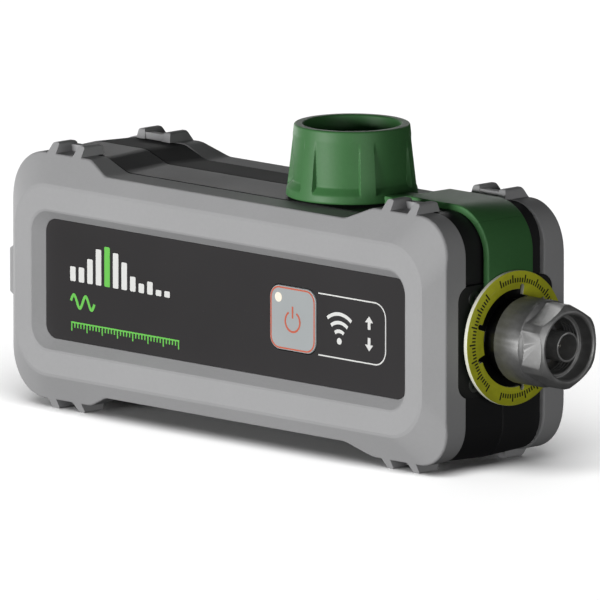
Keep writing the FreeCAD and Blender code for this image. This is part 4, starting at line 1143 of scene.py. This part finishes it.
class ANALYZER_OT_cap(Dressing, bpy.types.Operator):
    """Make the protective cap with its ribs"""
    bl_idname = "analyzer.cap"
    bl_label = "Protective cap"

    def dress(self, scene):
        sizes = scene.analyzer_rubber
        base, rim, bore, floor = sizes.cap_base, sizes.cap_rim, sizes.cap_bore, sizes.cap_floor
        height = cap_high.z - cap_low.z
        centre = Vector((cap_low.x + base, 0, cap_low.z))
        round_base = 0.5 * MM
        round_rim = 0.6 * MM
        round_floor = 1 * MM
        wall_height = height - round_base - round_rim
        steps = 60
        wall = [
            (base + (rim - base) * i / steps, round_base + wall_height * i / steps) for i in range(steps + 1)
        ]
        profile = [
            (0, 0), (base - round_base, 0),
            *arc((base - round_base, round_base), round_base, -90, 0, 4)[1:-1], *wall,
            *arc((rim - round_rim, height - round_rim), round_rim, 8, 90, 5),
            *arc((bore + round_rim, height - round_rim), round_rim, 90, 180, 5),
            (bore, floor + round_floor),
            *arc((bore - round_floor, floor + round_floor), round_floor, 0, -90, 4),
            (0, floor),
        ]
        mesh = lathe("cap_cup", profile, centre, Vector((0, 0, 1)), 360)
        cup = new_piece("cap_cup", mesh, "strap_rubber")
        grow(
            cup, pocket_rule(), Ribs=sizes.rib_count, Rib_width=sizes.rib_degrees, Edge=1.0,
            Floor_radius=sizes.pocket_radius, Start=sizes.pocket_start, Rise=sizes.pocket_rise,
            Base_radius=base, Centre=centre,
        )
        smooth(cup.data, 50)
        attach(cup, "cap")
        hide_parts("protective_cap")


class ANALYZER_OT_stage(Dressing, bpy.types.Operator):
    """Set up the floor, the soft lights and the camera"""
    bl_idname = "analyzer.stage"
    bl_label = "Stage"

    def dress(self, scene):
        self.floor(scene.analyzer_colours)
        self.world(scene)
        pieces = [piece.name for piece in scene.objects if piece.type == "MESH" and piece.name != "floor"]
        port = ["coupling_nut_eased", "outer_contact_eased"]
        bore = ["nut_thread", "nut_gasket"]
        self.light("key", azimuth=-9, elevation=3, size=(0.9, 0.4), power=29)
        self.light("right_fill", azimuth=67, elevation=4, size=(1.2, 0.4), power=7.5)
        self.light("back_sheen", azimuth=-135, elevation=20, size=(1.6, 0.4), power=4.6)
        self.light("left_fill", azimuth=-100, elevation=-2, size=(1.2, 0.5), power=8, only=pieces)
        rear = self.light("rear_fill", azimuth=212, elevation=-4, size=(1.4, 0.4), power=17, only=pieces)
        rear.visible_glossy = False
        self.light(
            "port_light", azimuth=85, elevation=5, size=(1.6, 0.8), power=14, distance=1.6, only=bore + port
        )
        self.light(
            "port_sheen", azimuth=-105, elevation=43, size=(0.8, 0.5), power=16, distance=1.6, only=port
        )
        self.light(
            "floor_ambience", azimuth=0, elevation=90, size=(3.0, 3.0), power=9, distance=1.6, only=["floor"]
        )
        self.floor_sun()
        self.camera(scene)
        scene.view_settings.view_transform = "Standard"

    def floor(self, colours):
        """Pale floor that casts no light, shade or reflection on the pieces."""
        shape = bmesh.new()
        bmesh.ops.create_grid(shape, x_segments=1, y_segments=1, size=6)
        mesh = bpy.data.meshes.new("floor")
        shape.to_mesh(mesh)
        shape.free()
        made = Finish(Roughness=0.75)
        made.material.name = "floor_finish"
        slow = made.noise(300 * MM, 2.0)
        made.set(Base_Color=made.mix(slow, toned(colours.floor, 0.99), colours.floor))
        mesh.materials.append(made.material)
        floor = new_object("floor", mesh)
        floor.visible_diffuse = False
        floor.visible_glossy = False
        floor.visible_shadow = False

    def world(self, scene):
        """Even pale light from all round."""
        scene.world = bpy.data.worlds.new("studio")
        scene.world.use_nodes = True
        background = scene.world.node_tree.nodes["Background"]
        background.inputs["Color"].default_value = (0.95, 0.97, 1.0, 1)
        background.inputs["Strength"].default_value = 0.022

    def lamp(self, name, kind, azimuth, elevation, power, only):
        """Lamp that shines from this direction, on these pieces alone or on everything."""
        data = bpy.data.lights.new(name, kind)
        data.energy = power
        lamp = new_object(name, data)
        lamp.rotation_euler = direction(azimuth, elevation).to_track_quat("Z", "Y").to_euler()
        if only:
            lit = bpy.data.collections.new(name + "_receives")
            for piece in only:
                lit.objects.link(bpy.data.objects[piece])
            lamp.light_linking.receiver_collection = lit
        return lamp

    def light(self, name, azimuth, elevation, size, power, distance=1.8, only=()):
        """Rectangular soft box that faces the case, at an azimuth from -Y towards +X."""
        lamp = self.lamp(name, "AREA", azimuth, elevation, power, only)
        lamp.data.shape = "RECTANGLE"
        lamp.data.size, lamp.data.size_y = size
        lamp.location = Vector((0, 0, axis_z)) + direction(azimuth, elevation) * distance
        return lamp

    def floor_sun(self):
        """Broad even light on the floor, from high in front."""
        lamp = self.lamp("floor_sun", "SUN", azimuth=40, elevation=50, power=3.7, only=["floor"])
        lamp.data.angle = math.radians(50)

    def camera(self, scene):
        """Long lens at a low three-quarter view from the test port's side."""
        frame_width = 160 * MM
        lens_length = 1500
        film_width = 36
        aim_right, aim_down = 3.52 * MM, 0.53 * MM
        back = direction(45.4, 9.96)
        turn = back.to_track_quat("Z", "Y")
        right = turn @ Vector((1, 0, 0))
        up = turn @ Vector((0, 1, 0))
        target = Vector((0, 0, axis_z)) + right * aim_right - up * aim_down
        data = bpy.data.cameras.new("camera")
        data.lens = lens_length
        data.sensor_width = film_width
        data.clip_end = 60
        camera = new_object("camera", data)
        camera.location = target + back * frame_width * lens_length / film_width
        camera.rotation_euler = turn.to_euler()
        scene.camera = camera


class ANALYZER_PT_panel(bpy.types.Panel):
    """Buttons and sizes of the analyzer's looks"""
    bl_idname = "ANALYZER_PT_panel"
    bl_label = "Analyzer"
    bl_space_type = "VIEW_3D"
    bl_region_type = "UI"
    bl_category = "Analyzer"

    def draw(self, context):
        layout = self.layout
        for operator in OPERATORS:
            layout.operator(operator.bl_idname)
        for name in GROUPS:
            group = getattr(context.scene, name)
            for prop in group.bl_rna.properties:
                if prop.identifier not in ("name", "rna_type"):
                    layout.prop(group, prop.identifier)


OPERATORS = (
    ANALYZER_OT_finishes, ANALYZER_OT_metal_edges, ANALYZER_OT_nut_thread, ANALYZER_OT_label_print,
    ANALYZER_OT_button_print, ANALYZER_OT_disc_print, ANALYZER_OT_strap, ANALYZER_OT_cap, ANALYZER_OT_stage,
)
GROUPS = {
    "analyzer_print": AnalyzerPrintSizes,
    "analyzer_rubber": AnalyzerRubberSizes,
    "analyzer_metal": AnalyzerMetalSizes,
    "analyzer_colours": AnalyzerColours,
}


def register():
    """Registers the classes and hangs the property groups on the scene."""
    for kind in (*GROUPS.values(), *OPERATORS, ANALYZER_PT_panel):
        bpy.utils.register_class(kind)
    for name, group in GROUPS.items():
        setattr(bpy.types.Scene, name, PointerProperty(type=group))


def unregister():
    """Takes away what register added."""
    for name in GROUPS:
        delattr(bpy.types.Scene, name)
    for kind in (ANALYZER_PT_panel, *reversed(OPERATORS), *reversed(GROUPS.values())):
        bpy.utils.unregister_class(kind)


def main():
    """Dresses the analyzer."""
    register()
    for operator in OPERATORS:
        group, name = operator.bl_idname.split(".")
        getattr(getattr(bpy.ops, group), name)()


if __name__ == "__main__":
    main()
